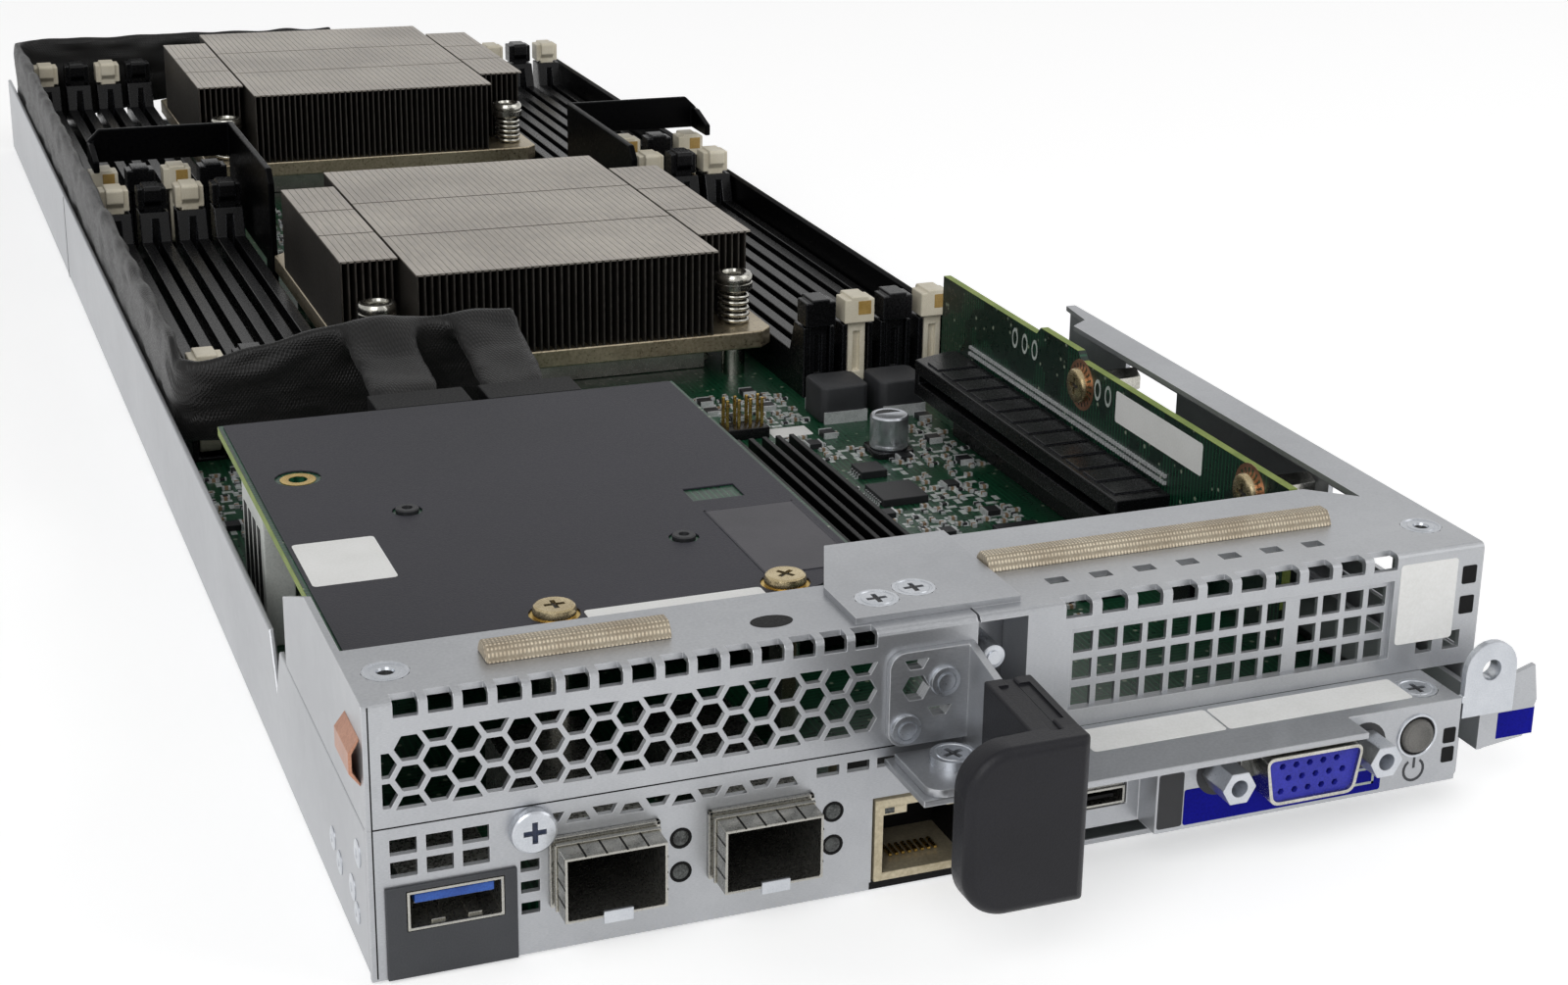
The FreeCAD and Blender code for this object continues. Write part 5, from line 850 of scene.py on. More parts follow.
def makePorts():
    usb = {"edge": 0.08, "contacts": 4, "step": 2.3,
           "tongue": ((-80.6, 0.3, 10.6), (-69.8, 14.9, 11.9), 1, 0.12),
           "contact": ((-79.0, 1.2, 10.45), (-77.9, 11, 10.65), 2, 0),
           "springs": (((-78.4, 0.4, 7.35), (-76.5, 6.0, 7.75), 0, 0.1),
                       ((-73.4, 0.4, 7.35), (-71.5, 6.0, 7.75), 0, 0.1))}
    shape = copyOf("usb_port")
    bevelEdges(shape, usb["edge"])
    addBoxes(shape, [usb["tongue"]])  # tongue with its contacts below
    addBoxes(shape, [usb["contact"]], [(usb["step"] * k, 0, 0) for k in range(usb["contacts"])])
    addBoxes(shape, usb["springs"])
    looks = ["cage_metal", "tongue_blue", "gold_contact"]
    putPiece("usb_port_parts", meshOf(shape), looks, nodes=["usb_port"])

    cage = {"edge": 0.1, "middles": (-54.6, -32.0), "half": 7.2, "low": 6.9, "top": 16.7, "slits": 4,
            "step": 2.9, "slit": ((-4.4, -6.02, 16.6), (-4.1, -2.2, 16.73), 1, 0),
            "levels": (9.4, 12.0, 14.4), "sideSlit": ((-0.03, -6.02, 0), (0.03, -2.4, 0.28), 1, 0),
            "collars": ((-2.3, -1.7, 0.25), (-0.9, -0.1, 0.6)),
            "tab": ((-2.0, -6.5, 6.3), (2.2, -5.9, 8.2), 2, 0.15),
            "inside": (((-6.8, 30.0, 7.4), (6.8, 35.6, 16.3), 1, 0),
                       ((-5.2, 14.0, 10.6), (5.2, 30.0, 11.6), 1, 0))}
    shape = copyOf("sfp_cages")
    bevelEdges(shape, cage["edge"])
    half, top = cage["half"], cage["top"]
    for x in cage["middles"]:  # slits between the spring fingers, top and sides, drawn as dark strips: painted shade of the openings
        addBoxes(shape, [cage["slit"]], [(x + cage["step"] * k, 0, 0) for k in range(cage["slits"])])
        sides = [(x + side, 0, z) for z in cage["levels"] for side in (-half, half)]
        addBoxes(shape, [cage["sideSlit"]], sides)
        for near, far, out in cage["collars"]:  # collars against the panel
            addBox(shape, (x - half - out, near, top), (x + half + out, far, top + out), 0, cage["edge"])
            for side in (-1, 1):
                addBox(shape, (x + side * half, near, cage["low"]),
                       (x + side * (half + out), far, top + out), 0, cage["edge"])
        addBoxes(shape, [cage["tab"], *cage["inside"]], [(x, 0, 0)])
    putPiece("sfp_cage_parts", meshOf(shape), ["cage_metal", "port_dark", "zinc_screw"], nodes=["sfp_cages"])

    jack = {"edge": 0.12, "axis": -6.6, "contact": ((-0.225, 0, -0.175), (0.225, 3.0, 0.175)), "contacts": 8,
            "first": (-3.79, 3.5, 3.0), "step": 1.02,
            "sides": (((3.1, -0.3, 11.7), (6.8, 9, 13.0), 0, 0.1),
                      ((5.0, -0.32, 11.9), (6.6, 2, 12.9), 1, 0.1),
                      ((8.02, 1.0, 6.4), (7.9, 4.0, 9.0), 2, 0),
                      ((6.55, 0.7, 2.5), (6.75, 12.0, 12.9), 2, 0)),
            "lining": (((-6.7, 12.0, 2.6), (6.7, 14.7, 12.9), 2, 0),
                       ((-6.7, 0.7, 12.75), (6.7, 12.0, 12.95), 2, 0)),
            "film": ((-8.0, 1.4, 14.16), (8.0, 17.6, 14.26), 2, 0)}
    x = jack["axis"]
    shape = copyOf("rj45_jack")
    bevelEdges(shape, jack["edge"])
    for low, high, look, width in jack["sides"]:  # stepped mouth, light windows, side slots as dark plates (painted shade of the openings) and dark lining
        for side in (-1, 1):
            addBox(shape, (x + side * low[0], *low[1:]), (x + side * high[0], *high[1:]), look, width)
    addBoxes(shape, [*jack["lining"], jack["film"]], [(x, 0, 0)])  # a dark plate on the jack's top: painted shade seen through the slots above
    contact = bmesh.new()
    addBox(contact, *jack["contact"], place=raw)
    start = (x + jack["first"][0], *jack["first"][1:])
    inner = rowMesh(contact, "gold_contact", jack["contacts"], start, (jack["step"], 0, 0))
    mesh = dressed(meshOf(shape), "jack_metal", "led_lens", "port_dark")
    putPiece("rj45_jack_parts", joinMeshes([mesh, inner]), None, nodes=["rj45_jack"])

    micro = {"edge": 0.1, "inside": (((16.4, -5.7, 11.4), (20.8, -1.6, 12.0), 1, 0.08),
                                     ((15.3, -1.9, 10.9), (21.9, -1.5, 12.7), 1, 0))}
    shape = copyOf("micro_usb_port")
    bevelEdges(shape, micro["edge"])
    addBoxes(shape, micro["inside"])
    putPiece("micro_usb_parts", meshOf(shape), ["cage_metal", "port_dark"], nodes=["micro_usb_port"])

    shell = {"wall": 0.5, "taper": 1.2, "corner": 1.6}
    low, high = [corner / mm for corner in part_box("vga_shell")]
    near, far = low.y - frontY / mm, high.y - frontY / mm

    def shellOutline(inset):
        slope = shell["taper"] + inset
        points = [(low.x + slope, low.z + inset), (high.x - slope, low.z + inset),
                  (high.x - inset, high.z - inset), (low.x + inset, high.z - inset)]
        return softOutline(points, shell["corner"] - inset)

    shape = bmesh.new()
    addTube(shape, shellOutline(0), shellOutline(shell["wall"]), near, far, turn=facing)
    putPiece("vga_shell_tube", meshOf(shape), "nickel", nodes=["vga_shell"], smooth=40)

    light = {"step": 11.0, "levels": (8.4, 13.6), "sides": 20,
             "lens": ((1.15, -4.8), (1.15, 0), (0.95, 0.1), (0.55, 0.16), (0, 0.17)),
             "rim": ((1.2, -0.3), (1.2, 0.04), (1.6, 0.05), (1.65, -0.3))}
    lens, rim = bmesh.new(), bmesh.new()
    addLathe(lens, light["lens"], sides=light["sides"])
    # rim: a dark ring round each lens, painted shade in the gap of its hole
    addLathe(rim, light["rim"], sides=light["sides"], ring=True)
    spots = [(x + light["step"], 0, z, (90, 0, 0)) for x in cage["middles"] for z in light["levels"]]
    pair = [spotMesh(lens, "led_lens", spots), spotMesh(rim, "port_dark", spots)]
    putPiece("status_light_pipes", joinMeshes(pair), None, nodes=["status_leds"], smooth=40)
    print("ports done")


def makeFrontMarks():
    label = {"ledge": ((15.7, -8.4, 37.6, -1.4), (38.0, -8.4, 70.0, -1.4)), "corner": 0.5,
             "levels": (20.58, 20.65), "sticker": (71.6, 25.4, 82.0, 38.6), "stickerCorner": 0.6,
             "depths": (-0.06, 0.02)}
    shape = bmesh.new()
    for area in label["ledge"]:
        addPlate(shape, roundedOutline(*area, label["corner"]), *label["levels"])
    sticker = roundedOutline(*label["sticker"], label["stickerCorner"])
    addPlate(shape, sticker, *label["depths"], turn=facing)
    putPiece("bare_labels", meshOf(shape), "label_paper")

    mark = {"fields": ((29.5, 7.7, 63.4, 13.4), (25.2, 7.7, 29.3, 16.4)), "corner": 0.4,
            "depths": (-11.06, -10.98), "power": (69.3, 9.9, 1.55), "line": 0.42,
            "arc": (125, 290), "steps": 15, "bar": (0.21, 0.3, 2.2),
            "lineDepths": (-11.05, -10.98), "screenDepths": (-11.09, -11.0),
            "screen": ((58.2, 8.9, 62.2, 9.3), (58.2, 11.3, 62.2, 11.7), (58.2, 8.9, 58.6, 11.7),
                       (61.8, 8.9, 62.2, 11.7)),
            "jackscrews": ((35.0, 15.5), (60.0, 15.5)), "disc": 3.7, "discDepths": (-11.08, -10.98),
            "holes": ((83.0, 34.0, 2.6, -0.02), (83.0, 29.0, 2.6, -0.02), (74.2, 13.4, 2.2, -11.02),
                      (74.2, 10.2, 2.2, -11.02)), "tall": 1.15, "holeCorner": 0.3, "holeDepth": 0.04}
    shape = bmesh.new()
    for look, area in enumerate(mark["fields"]):  # blue and dark fields round the video port
        addPlate(shape, roundedOutline(*area, mark["corner"]), *mark["depths"], look, turn=facing)
    x, z, inner = mark["power"]  # plain power mark under the button
    outer = inner + mark["line"]
    start, sweep = mark["arc"]
    for k in range(mark["steps"]):
        a, b = [math.radians(start + sweep * part / mark["steps"]) for part in (k, k + 1)]
        corners = ((inner, a), (outer, a), (outer, b), (inner, b))
        piece = [(x + radius * math.cos(angle), z + radius * math.sin(angle)) for radius, angle in corners]
        addPlate(shape, piece, *mark["lineDepths"], 2, turn=facing)
    half, low, high = mark["bar"]
    near, far = mark["lineDepths"]
    addBox(shape, (x - half, near, z + low), (x + half, far, z + high), 2)
    near, far = mark["screenDepths"]
    for left, low, right, high in mark["screen"]:  # plain screen mark by the video port
        addBox(shape, (left, near, low), (right, far, high), 3)
    for x, z in mark["jackscrews"]:  # dark discs round the jackscrews: painted shade of the pockets they sit in
        disc = ovalOutline(x, z, mark["disc"], mark["disc"], 28)
        addPlate(shape, disc, *mark["discDepths"], 1, turn=facing)
    for x, z, size, y in mark["holes"]:  # dark squares where the vents are: painted shade of the openings
        hole = roundedOutline(x, z, x + size, z + size * mark["tall"], mark["holeCorner"])
        addPlate(shape, hole, y - mark["holeDepth"], y + mark["holeDepth"], 4, turn=facing)
    putPiece("port_marks", meshOf(shape), ["label_blue", "chip_black", "mark_dark", "mark_pale", "port_dark"])

    # dark lines in the gaps between sheets: painted shade where one sheet steps behind another
    seam = {"lines": (((-85.9, -0.03, 22.3), (0.4, 0.03, 22.5), 0, 0),
                      ((-15.2, -0.04, 0.1), (1.8, 0.03, 1.2), 0, 0),
                      ((-86.0, -0.03, 0.4), (-85.8, 0.03, 40.0), 0, 0)),
            "oval": (-27.6, 8.1, 3.12, 2.08), "levels": (40.36, 40.44)}
    shape = bmesh.new()
    addBoxes(shape, seam["lines"])
    oval = ovalOutline(*seam["oval"], 24)  # punched oval in the grille's top flange, a dark plate as painted shade of the opening
    addPlate(shape, oval, *seam["levels"], 0)
    putPiece("sheet_seams", meshOf(shape), "port_dark")

    bridge = {"sheet": ((0.6, 8.0, 22.6), (8.4, 9.0, 40.2), 0, 0.15), "pin": (3.4, 33.5), "radius": 1.9,
              "run": (0.5, 8.0), "edge": 0.3, "tip": 1.045, "tipRun": (0.2, 0.6)}
    shape = bmesh.new()  # sheet and pin that join the two flanges behind the handle
    addBoxes(shape, [bridge["sheet"]])
    x, z = bridge["pin"]
    near, far = bridge["run"]
    addRod(shape, (x, near, z), (x, far, z), bridge["radius"], 1, 24, width=bridge["edge"])
    near, far = bridge["tipRun"]
    addRod(shape, (x, near, z), (x, far, z), bridge["tip"], 1, 20)
    putPiece("flange_bridge", meshOf(shape), ["galvanised_steel", "zinc_screw"], smooth=35)

    wall = {"face": -86.68, "seam": ((-86.76, 365.0, 0.6), (-86.6, 365.5, 21.8), 1, 0),
            "studs": ((23.7, 9.7, 1.75), (19.3, 8.1, 1.75), (10.7, 8.8, 1.9), (8.0, 6.3, 1.6),
                      (6.2, 16.2, 2.0)),
            "profile": ((1, 0), (1, 0.12), (0.75, 0.25), (0.4, 0.25), (0.3, 0.1), (0, 0.1))}
    shape = bmesh.new()
    outward = Matrix.Rotation(math.radians(-90), 4, "Y")
    for y, z, radius in wall["studs"]:
        profile = [(radius * share, height) for share, height in wall["profile"]]
        addLathe(shape, profile, sides=18, spot=(wall["face"], y, z), place=at, turn=outward)
    addBoxes(shape, [wall["seam"]])
    putPiece("wall_marks", meshOf(shape), ["zinc_screw", "mark_dark"])
    print("front marks done")


def makeHandleAndLever():
    grip = {"bevel": 0.5, "face": 1.6, "near": 0.02, "insetRun": (-3.0, 1.8), "lidRun": (-1.28, 0.08),
            "inset": ((-24.5, 35.18), (-14.0, 35.91), (-14.0, 38.0), (-24.5, 38.0)),
            "lid": ((-12.05, 34.5), (-12.05, 36.0), (-26.4, 35.0), (-27.05, 35.0), (-27.05, 31.3))}
    shape = copyOf("handle_grip")
    nearest = min(vert.co.y for vert in shape.verts) + grip["near"] * mm
    rim = [edge for edge in shape.edges if all(vert.co.y < nearest for vert in edge.verts)]
    roundEdges(shape, rim, grip["face"])
    bevelEdges(shape, grip["bevel"], 3)
    knife, cap = bmesh.new(), bmesh.new()
    addPlate(knife, grip["inset"], *grip["insetRun"], turn=sideways)
    addPlate(cap, grip["lid"], *grip["lidRun"], turn=sideways)  # closes the slot above the handle
    parts = [carve(meshOf(shape), meshOf(knife)), meshOf(cap)]
    for mesh in parts:
        mesh.materials.clear()
        dressed(mesh, "black_plastic")
    putPiece("handle_grip_moulding", joinMeshes(parts), None, nodes=["handle_grip"])

    lever = {"edge": 0.15, "tip": (((86.4, -8.06, 10.8), (93.2, -7.9, 15.2), 1, 0.05),
                                   ((93.44, -7.6, 10.8), (93.5, -2.0, 15.2), 1, 0))}
    shape = copyOf("release_lever")
    bevelEdges(shape, lever["edge"])
    addBoxes(shape, lever["tip"])  # coloured end of the lever
    putPiece("release_lever_spring", meshOf(shape), ["galvanised_steel", "label_blue"], body="release_lever",
             nodes=["release_lever"])

    button = {"sides": 32, "seat": (69.3, -5.9, 15.6), "front": (69.3, -11.0, 15.6),
              "cap": ((3.6, 0), (3.6, 1.2), (2.7, 1.25), (2.7, 5.4), (2.5, 5.85), (2.0, 6.0),
                      (1.8, 5.9), (0, 5.75)),
              "rim": ((3.1, 0), (3.1, 0.2), (3.2, 0.3), (3.5, 0.26), (3.6, 0)),
              "gap": ((2.76, 0), (2.76, 0.08), (3.1, 0.08), (3.1, 0))}
    forward = Matrix.Rotation(math.radians(90), 4, "X")
    shape, ring = bmesh.new(), bmesh.new()
    addLathe(shape, button["cap"], sides=button["sides"], spot=button["seat"], turn=forward, place=at)
    putPiece("power_button_cap", meshOf(shape), "button_grey", body="power_button", nodes=["power_button"],
             smooth=40)
    # zinc rim, and a dark ring in the gap round the cap as painted shade
    for look, name in enumerate(("rim", "gap")):
        addLathe(ring, button[name], look, button["sides"], button["front"], forward, at, ring=True)
    putPiece("power_button_rim", meshOf(ring), ["zinc_screw", "port_dark"], smooth=40)
    print("handle, lever and button done")


def makeCard():
    film = {"top": 31.95, "sunk": 0.02, "labels": ((-81.2, 61.5, -68.2, 79.5), (-45.6, 34.6, -17.6, 39.4)),
            "labelCorner": 0.7, "labelThick": 0.06, "window": (-15.0, 43.5, 0.6, 73.0), "windowCorner": 0.5,
            "windowThick": 0.04, "line": 0.35, "lineThick": 0.07}
    top, sunk, line = film["top"], film["top"] - film["sunk"], film["line"]
    shape = bmesh.new()
    for area in film["labels"]:
        addPlate(shape, roundedOutline(*area, film["labelCorner"]), sunk, top + film["labelThick"])
    putPiece("card_labels", meshOf(shape), "label_paper")
    shape = bmesh.new()
    left, low, right, high = film["window"]
    window = roundedOutline(left, low, right, high, film["windowCorner"])
    addPlate(shape, window, sunk, top + film["windowThick"], 0)
    for start, end in (((left, low), (right, low + line)), ((left, high - line), (right, high)),
                       ((left, low), (left + line, high)), ((right - line, low), (right, high))):
        addBox(shape, (*start, top), (*end, top + film["lineThick"]), 1)
    putPiece("card_chip_window", meshOf(shape), ["film_window", "film_charcoal"])

    card = {"hole": (-74.4, 110.0, 0), "holeRing": ((1.6, 31.5), (1.6, 31.68), (3.0, 31.7), (3.0, 31.5)),
            "screws": ((-49.8, 40.0, 0), (-13.2, 40.0, 0)),
            "screwRing": ((2.0, 31.58), (2.0, 31.66), (3.85, 31.66), (3.85, 31.58)),
            "edges": (((-82.66, 23.0, 30.0), (-82.58, 142.0, 31.55), 1, 0),
                      ((-82.6, 22.95, 30.0), (2.6, 23.03, 31.55), 1, 0),
                      ((2.56, 23.0, 30.0), (2.64, 142.0, 31.55), 1, 0))}
    shape = bmesh.new()
    addLathe(shape, card["holeRing"], spot=card["hole"], place=at, ring=True)
    for spot in card["screws"]:
        addLathe(shape, card["screwRing"], spot=spot, place=at, ring=True)
    addBoxes(shape, card["edges"])  # bare laminate at the card's edges
    putPiece("card_rings_and_edges", meshOf(shape), ["gold_contact", "board_edge"], smooth=40)

    plug = {"edge": 0.3, "clip": (-77, 90), "slots": 4, "step": 4.3,
            "slot": ((-82.7, 100.5, 12), (-82.5, 103, 27), 0, 0)}
    shape = copyOf("mezzanine_connectors")
    bevelEdges(shape, plug["edge"])
    right, near = plug["clip"]
    for face in shape.faces:  # the clip left of and behind this spot is nylon
        x, y = face.calc_center_median().x / mm, (face.calc_center_median().y - frontY) / mm
        face.material_index = 1 if x < right and y > near else 0
    addBoxes(shape, [plug["slot"]], [(0, plug["step"] * k, 0) for k in range(plug["slots"])])
    putPiece("card_connectors", meshOf(shape), ["port_dark", "nylon_natural"], nodes=["mezzanine_connectors"])
    print("card done")


def makeBoardParts():
    # kinds: finish, spacing, density, seed, then length, width, height and end of one part
    board = {"top": 7.0, "cluster": 80.0, "bare": 0.41, "lower": 0.95, "wider": 0.02,
             "kinds": (("ceramic_tan", 2.3, 160000.0, 11, (1.6, 0.8, 0.7, 0.45)),
                       ("mark_pale", 1.84, 260000.0, 14, (2.2, 1.1, 0.05, 0.5)),
                       ("chip_black", 2.99, 90000.0, 19, (1.6, 0.9, 0.5, 0.3)),
                       ("chip_black", 6.5, 12000.0, 5, (3.6, 2.8, 1.2, 0.45))),
             "patches": ((21.6, 62, 27, 130), (36, 62, 53, 95), (36, 98, 53, 123), (22, 122, 39, 150),
                         (51, 110, 64, 150), (5, 152, 49, 170), (60, 140, 70, 174), (5, 177, 44, 200),
                         (35, 178, 46, 200), (-82, 150, -60, 186), (-80, 346, -44, 357), (48, 346, 82, 357),
                         (-38, 310, 42, 396))}
    base = bpy.data.meshes.new("patches")
    points, faces = [], []
    for left, low, right, high in board["patches"]:
        corners = ((left, low), (right, low), (right, high), (left, high))
        faces.append(tuple(range(len(points), len(points) + 4)))
        points += [at(x, y, board["top"]) for x, y in corners]
    base.from_pydata(points, [], faces)

    def chip(length, width, height, end):
        body, caps = bmesh.new(), bmesh.new()
        inner, half = length / 2 - end, width / 2
        addBox(body, (-inner, -half, 0), (inner, half, height * board["lower"]), place=raw)
        half += board["wider"]
        for side in (-1, 1):
            addBox(caps, (side * inner, -half, 0), (side * length / 2, half, height), place=raw)
        return body, caps

    strewn = []
    for look, spacing, density, seed, sizes in board["kinds"]:
        body, caps = chip(*sizes)
        strewn.append(runTree(strewTree, base.copy(), spacing=spacing * mm, density=density, seed=seed,
                              cluster=board["cluster"], bare=board["bare"], shape=body, ends=caps,
                              finish=look, end_finish="solder_silver"))
    putPiece("board_small_parts", joinMeshes(strewn), None)

    # packages: left, near, size and pitch of the leads
    chips = {"edge": 0.15, "margin": 0.8,
             "packages": ((40.2, 125.2, 9.6, 1.0), (27.4, 112.4, 7.2, 0.9), (54.6, 97.6, 8.8, 0.9),
                          (42.2, 141.2, 5.6, 1.2), (55.0, 70.0, 8.0, 1.0), (28.2, 85.2, 5.6, 1.2)),
             "lead": (((-0.1, -0.2, 0.75), (0.5, 0.2, 0.9)), ((0.35, -0.2, 0.1), (0.5, 0.2, 0.9)),
                      ((0.35, -0.2, 0), (1.1, 0.2, 0.15)))}
    shape = copyOf("board_chips")
    bevelEdges(shape, chips["edge"])
    rows = [dressed(meshOf(shape), "chip_black")]
    for left, near, size, pitch in chips["packages"]:
        count = int((size - chips["margin"]) / pitch)
        start = near + (size - (count - 1) * pitch) / 2
        lead = bmesh.new()  # gull-wing lead
        for low, high in chips["lead"]:
            addBox(lead, low, high, place=raw)
        mirror = lead.copy()
        bmesh.ops.rotate(mirror, cent=(0, 0, 0), matrix=Matrix.Rotation(math.pi, 3, "Z"), verts=mirror.verts)
        for part, x in ((lead, left + size), (mirror, left)):
            rows.append(rowMesh(part, "solder_silver", count, (x, start, board["top"]), (0, pitch, 0)))
    putPiece("board_chip_packages", joinMeshes(rows), None, nodes=["board_chips"])

    power = {"behind": 165, "edge": 0.5, "chokes": ((47.3, 0, 0), (60.9, 0, 0)),
             "choke": (((0.6, 175.2, 7.0), (10.4, 175.7, 9.6), 3, 0),
                       ((0.6, 186.3, 7.0), (10.4, 186.8, 9.6), 3, 0),
                       ((1.4, 176.9, 14.98), (9.6, 185.1, 15.04), 0, 0.02)),
             "foot": (49.6, 150.6, 58.4, 159.4, 1.6, 2), "footLevels": (7.0, 8.3), "footEdge": 0.15,
             "can": ((3.7, 8.3), (4.0, 8.6), (4.0, 9.3), (3.8, 9.6), (4.0, 9.9), (4.0, 15.0), (3.7, 15.35),
                     (3.3, 15.4), (3.1, 15.25), (0, 15.25)), "middle": (54.0, 155.0), "mark": 3.0,
             "markArc": range(20, 161, 14), "markLevels": (15.2, 15.3)}
    shape = copyOf("board_power_parts")
    canFaces = [face for face in shape.faces if (face.calc_center_median().y - frontY) / mm < power["behind"]]
    bmesh.ops.delete(shape, geom=canFaces, context="FACES")
    bevelEdges(shape, power["edge"])
    addBoxes(shape, power["choke"], power["chokes"])
    addPlate(shape, roundedOutline(*power["foot"]), *power["footLevels"], 1, power["footEdge"])
    x, y = power["middle"]
    addLathe(shape, power["can"], 2, 28, (x, y, 0), place=at)
    angles = [math.radians(angle) for angle in power["markArc"]]
    mark = [(x + power["mark"] * math.cos(angle), y + power["mark"] * math.sin(angle)) for angle in angles]
    addPlate(shape, mark, *power["markLevels"], 1)

    header = {"housing": ((23.6, 171.4, 7), (34.0, 176.8, 9.4), 0, 0.2), "first": (25.0, 172.8, 7),
              "step": 2.54, "pin": ((-0.32, -0.32, 0), (0.32, 0.32, 8.6), 0, 0.1),
              "label": (34.8, 170.5, 43.5, 176.2, 0.4), "labelLevels": (7.0, 7.06)}
    pins, housing, step = bmesh.new(), bmesh.new(), header["step"]
    addBoxes(housing, [header["housing"]])
    addBox(pins, *header["pin"], place=raw)
    rows = [dressed(meshOf(shape), "choke_grey", "socket_black", "zinc_screw", "solder_silver"),
            dressed(meshOf(housing), "socket_black"),
            rowMesh(pins, "gold_contact", 4, header["first"], (step, 0, 0), 2, (0, step, 0))]
    putPiece("board_power_set", joinMeshes(rows), None, nodes=["board_power_parts"], smooth=32)
    shape = bmesh.new()
    addPlate(shape, roundedOutline(*header["label"]), *header["labelLevels"])
    putPiece("board_label", meshOf(shape), "label_paper")
    print("board parts done")


def makeRiser():
    slot = {"edge": 0.25, "rib": ((64.2, 0, 23.75), (73.6, 5.4, 24.15)), "ribEdge": 0.12, "ribs": 12,
            "first": 77.0, "pitch": 7.0, "pins": 84, "firstPin": 76.0, "pinPitch": 1.0,
            "pin": (((73.4, -0.28, 25.0), (74.0, 0.28, 25.6)), ((73.5, -0.28, 26.3), (74.0, 0.28, 26.9)))}
    shape = copyOf("riser_slot")
    bevelEdges(shape, slot["edge"])
    rib, pin = bmesh.new(), bmesh.new()
    addBox(rib, *slot["rib"], width=slot["ribEdge"], place=raw)
    for low, high in slot["pin"]:
        addBox(pin, low, high, place=raw)
    rows = [dressed(meshOf(shape), "socket_black"),
            rowMesh(rib, "socket_black", slot["ribs"], (0, slot["first"], 0), (0, slot["pitch"], 0)),
            rowMesh(pin, "solder_silver", slot["pins"], (0, slot["firstPin"], 0), (0, slot["pinPitch"], 0))]
    putPiece("riser_slot_ribbed", joinMeshes(rows), None, nodes=["riser_slot"])

    riser = {"face": 74.0, "label": (64.0, 30.6, 96.0, 36.6, 0.5), "sunk": -0.02, "labelThick": 0.05,
             "marks": (139, 134.6, 130.2, 103.4, 99.2), "level": 34.4, "oval": (1.25, 2.1),
             "rings": ((1.0, 0.03, 0), (0.66, 0.05, 1)),
             "edges": (((74.0, 36, 37.94), (75.6, 110.4, 38.03), 2, 0),
                       ((74.0, 112, 39.54), (75.6, 128, 39.63), 2, 0),
                       ((74.0, 129.6, 37.94), (75.6, 174, 38.03), 2, 0),
                       ((74.0, 35.95, 16.5), (75.6, 36.04, 38.0), 2, 0))}

    def onBoard(y, z, out):
        return riser["face"] - out, y, z

    shape = bmesh.new()
    addPlate(shape, roundedOutline(*riser["label"]), riser["sunk"], riser["labelThick"], turn=onBoard)
    putPiece("riser_label", meshOf(shape), "label_paper")
    shape = bmesh.new()
    wide, high = riser["oval"]
    for y in riser["marks"]:
        for size, thick, look in riser["rings"]:
            oval = ovalOutline(y, riser["level"], wide * size, high * size, 18)
            addPlate(shape, oval, riser["sunk"], thick, look, turn=onBoard)
    addBoxes(shape, riser["edges"])  # bare laminate along the edges
    putPiece("riser_marks", meshOf(shape), ["mark_pale", "riser_green", "board_edge"])
    print("riser done")


makeHeatSinks()
makeFasteners()
makeLatches()
makeSleeve()
makePorts()
makeFrontMarks()
makeHandleAndLever()
makeCard()
makeBoardParts()
makeRiser()


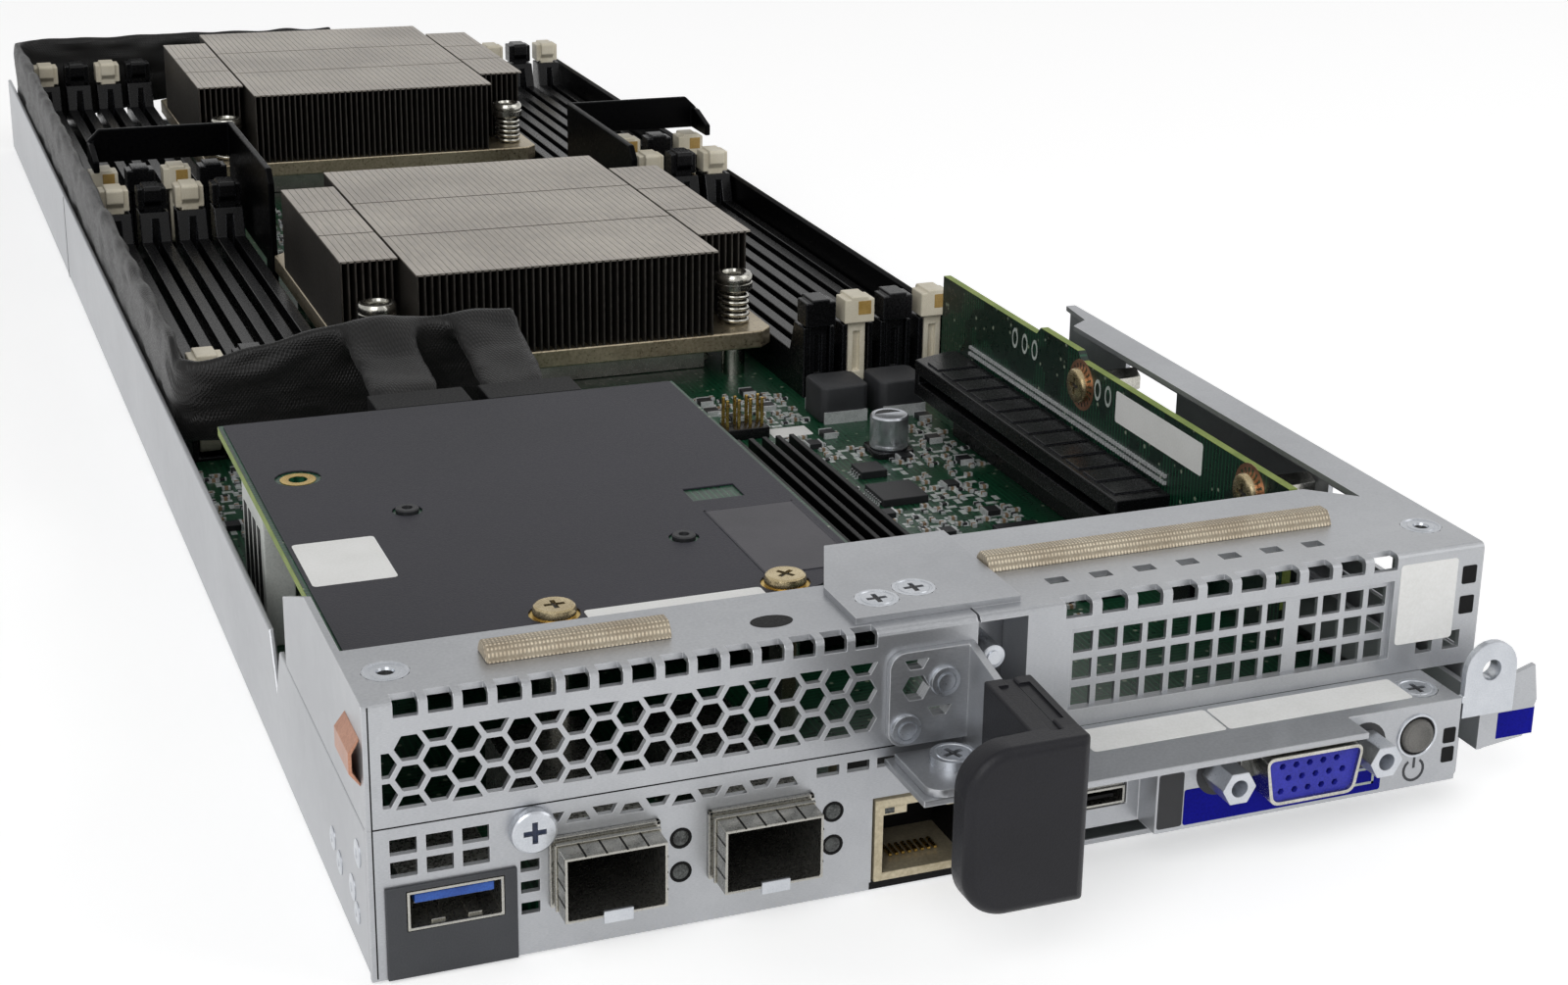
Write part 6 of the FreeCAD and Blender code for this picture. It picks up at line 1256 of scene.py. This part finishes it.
def lightAndCamera():
    stage = {"key": (10.0, (-0.8, -1.25, 0.98), 1.1), "fill": (4.0, (1.1, -0.7, 0.8), 1.0),
             "back": (1.0, (0.9, 1.2, 1.3), 1.0), "world": 0.58, "ceiling": 0.66, "floor": 0.9, "glow": 0.45,
             "aim": (0, 0, 0.02), "reach": 6.0, "drop": 0.0005, "rough": 0.9}
    scene = bpy.context.scene
    scene.view_settings.view_transform = "Standard"
    for name in ("key", "fill", "back"):
        power, spot, size = stage[name]
        lamp = bpy.data.lights.new(name + "Lamp", "AREA")
        lamp.energy, lamp.size = power, size
        holder = bpy.data.objects.new(name + "Lamp", lamp)
        scene.collection.objects.link(holder)
        holder.location = spot
        holder.rotation_euler = (Vector(stage["aim"]) - Vector(spot)).to_track_quat("-Z", "Y").to_euler()
    world = bpy.data.worlds.new("studio")
    scene.world = world
    world.use_nodes = True
    tree = world.node_tree

    def seenDirectly(tree):
        path = addNode(tree, "ShaderNodeLightPath").outputs
        seen = addNode(tree, "ShaderNodeMath", {0: path["Is Camera Ray"], 1: path["Is Glossy Ray"]},
                       operation="MAXIMUM").outputs[0]
        return addNode(tree, "ShaderNodeMath", {0: seen, 1: path["Is Transmission Ray"]},
                       operation="MAXIMUM").outputs[0]

    sky = tree.nodes["Background"].inputs
    sky["Color"].default_value = (1, 1, 1, 1)
    way = addNode(tree, "ShaderNodeTexCoord").outputs["Generated"]
    rise = addNode(tree, "ShaderNodeSeparateXYZ", {"Vector": way}).outputs["Z"]
    dim = remap(tree, rise, 1.0, stage["ceiling"], 0.04, 0.3)  # white at the horizon, greyer overhead
    glow = remap(tree, seenDirectly(tree), stage["world"], 1.0, 0.0, 1.0)
    tree.links.new(addNode(tree, "ShaderNodeMath", {0: dim, 1: glow}, operation="MULTIPLY").outputs[0],
                   sky["Strength"])

    floor = bpy.data.meshes.new("floor")
    reach = stage["reach"]
    floor.from_pydata([(-reach, -reach, 0), (reach, -reach, 0), (reach, reach, 0), (-reach, reach, 0)], [],
                      [(0, 1, 2, 3)])
    ground = bpy.data.objects.new("floor", floor)
    scene.collection.objects.link(ground)
    ground.location.z = -stage["drop"]
    pale = bpy.data.materials.new("pale_floor")
    pale.use_nodes = True
    tree = pale.node_tree
    shader = tree.nodes["Principled BSDF"].inputs
    shader["Base Color"].default_value = (stage["floor"], stage["floor"], stage["floor"], 1)
    shader["Roughness"].default_value = stage["rough"]
    shader["Specular IOR Level"].default_value = 0.0
    shader["Emission Color"].default_value = (1, 1, 1, 1)
    tree.links.new(remap(tree, seenDirectly(tree), 0.0, stage["glow"], 0.0, 1.0), shader["Emission Strength"])
    floor.materials.append(pale)

    # fitted to corners read in the photo
    view = {"sensor": 36.0, "lens": 57.63, "shift": (-0.0647, -0.0474), "nearest": 0.01,
            "spot": (-143.02, -293.37, 179.49), "right": (0.91949526, -0.39215056, 0.02732032),
            "up": (0.10158106, 0.30417074, 0.94718607), "backward": (-0.37974959, -0.86815788, 0.31951863)}
    lens = bpy.data.cameras.new("camera")
    lens.sensor_width, lens.lens = view["sensor"], view["lens"]
    lens.shift_x, lens.shift_y = view["shift"]
    lens.clip_start = view["nearest"]
    camera = bpy.data.objects.new("camera", lens)
    scene.collection.objects.link(camera)
    turn = Matrix((view["right"], view["up"], view["backward"])).transposed().to_4x4()
    camera.matrix_world = Matrix.Translation(at(*view["spot"])) @ turn
    scene.camera = camera
    print("light and camera set")


lightAndCamera()
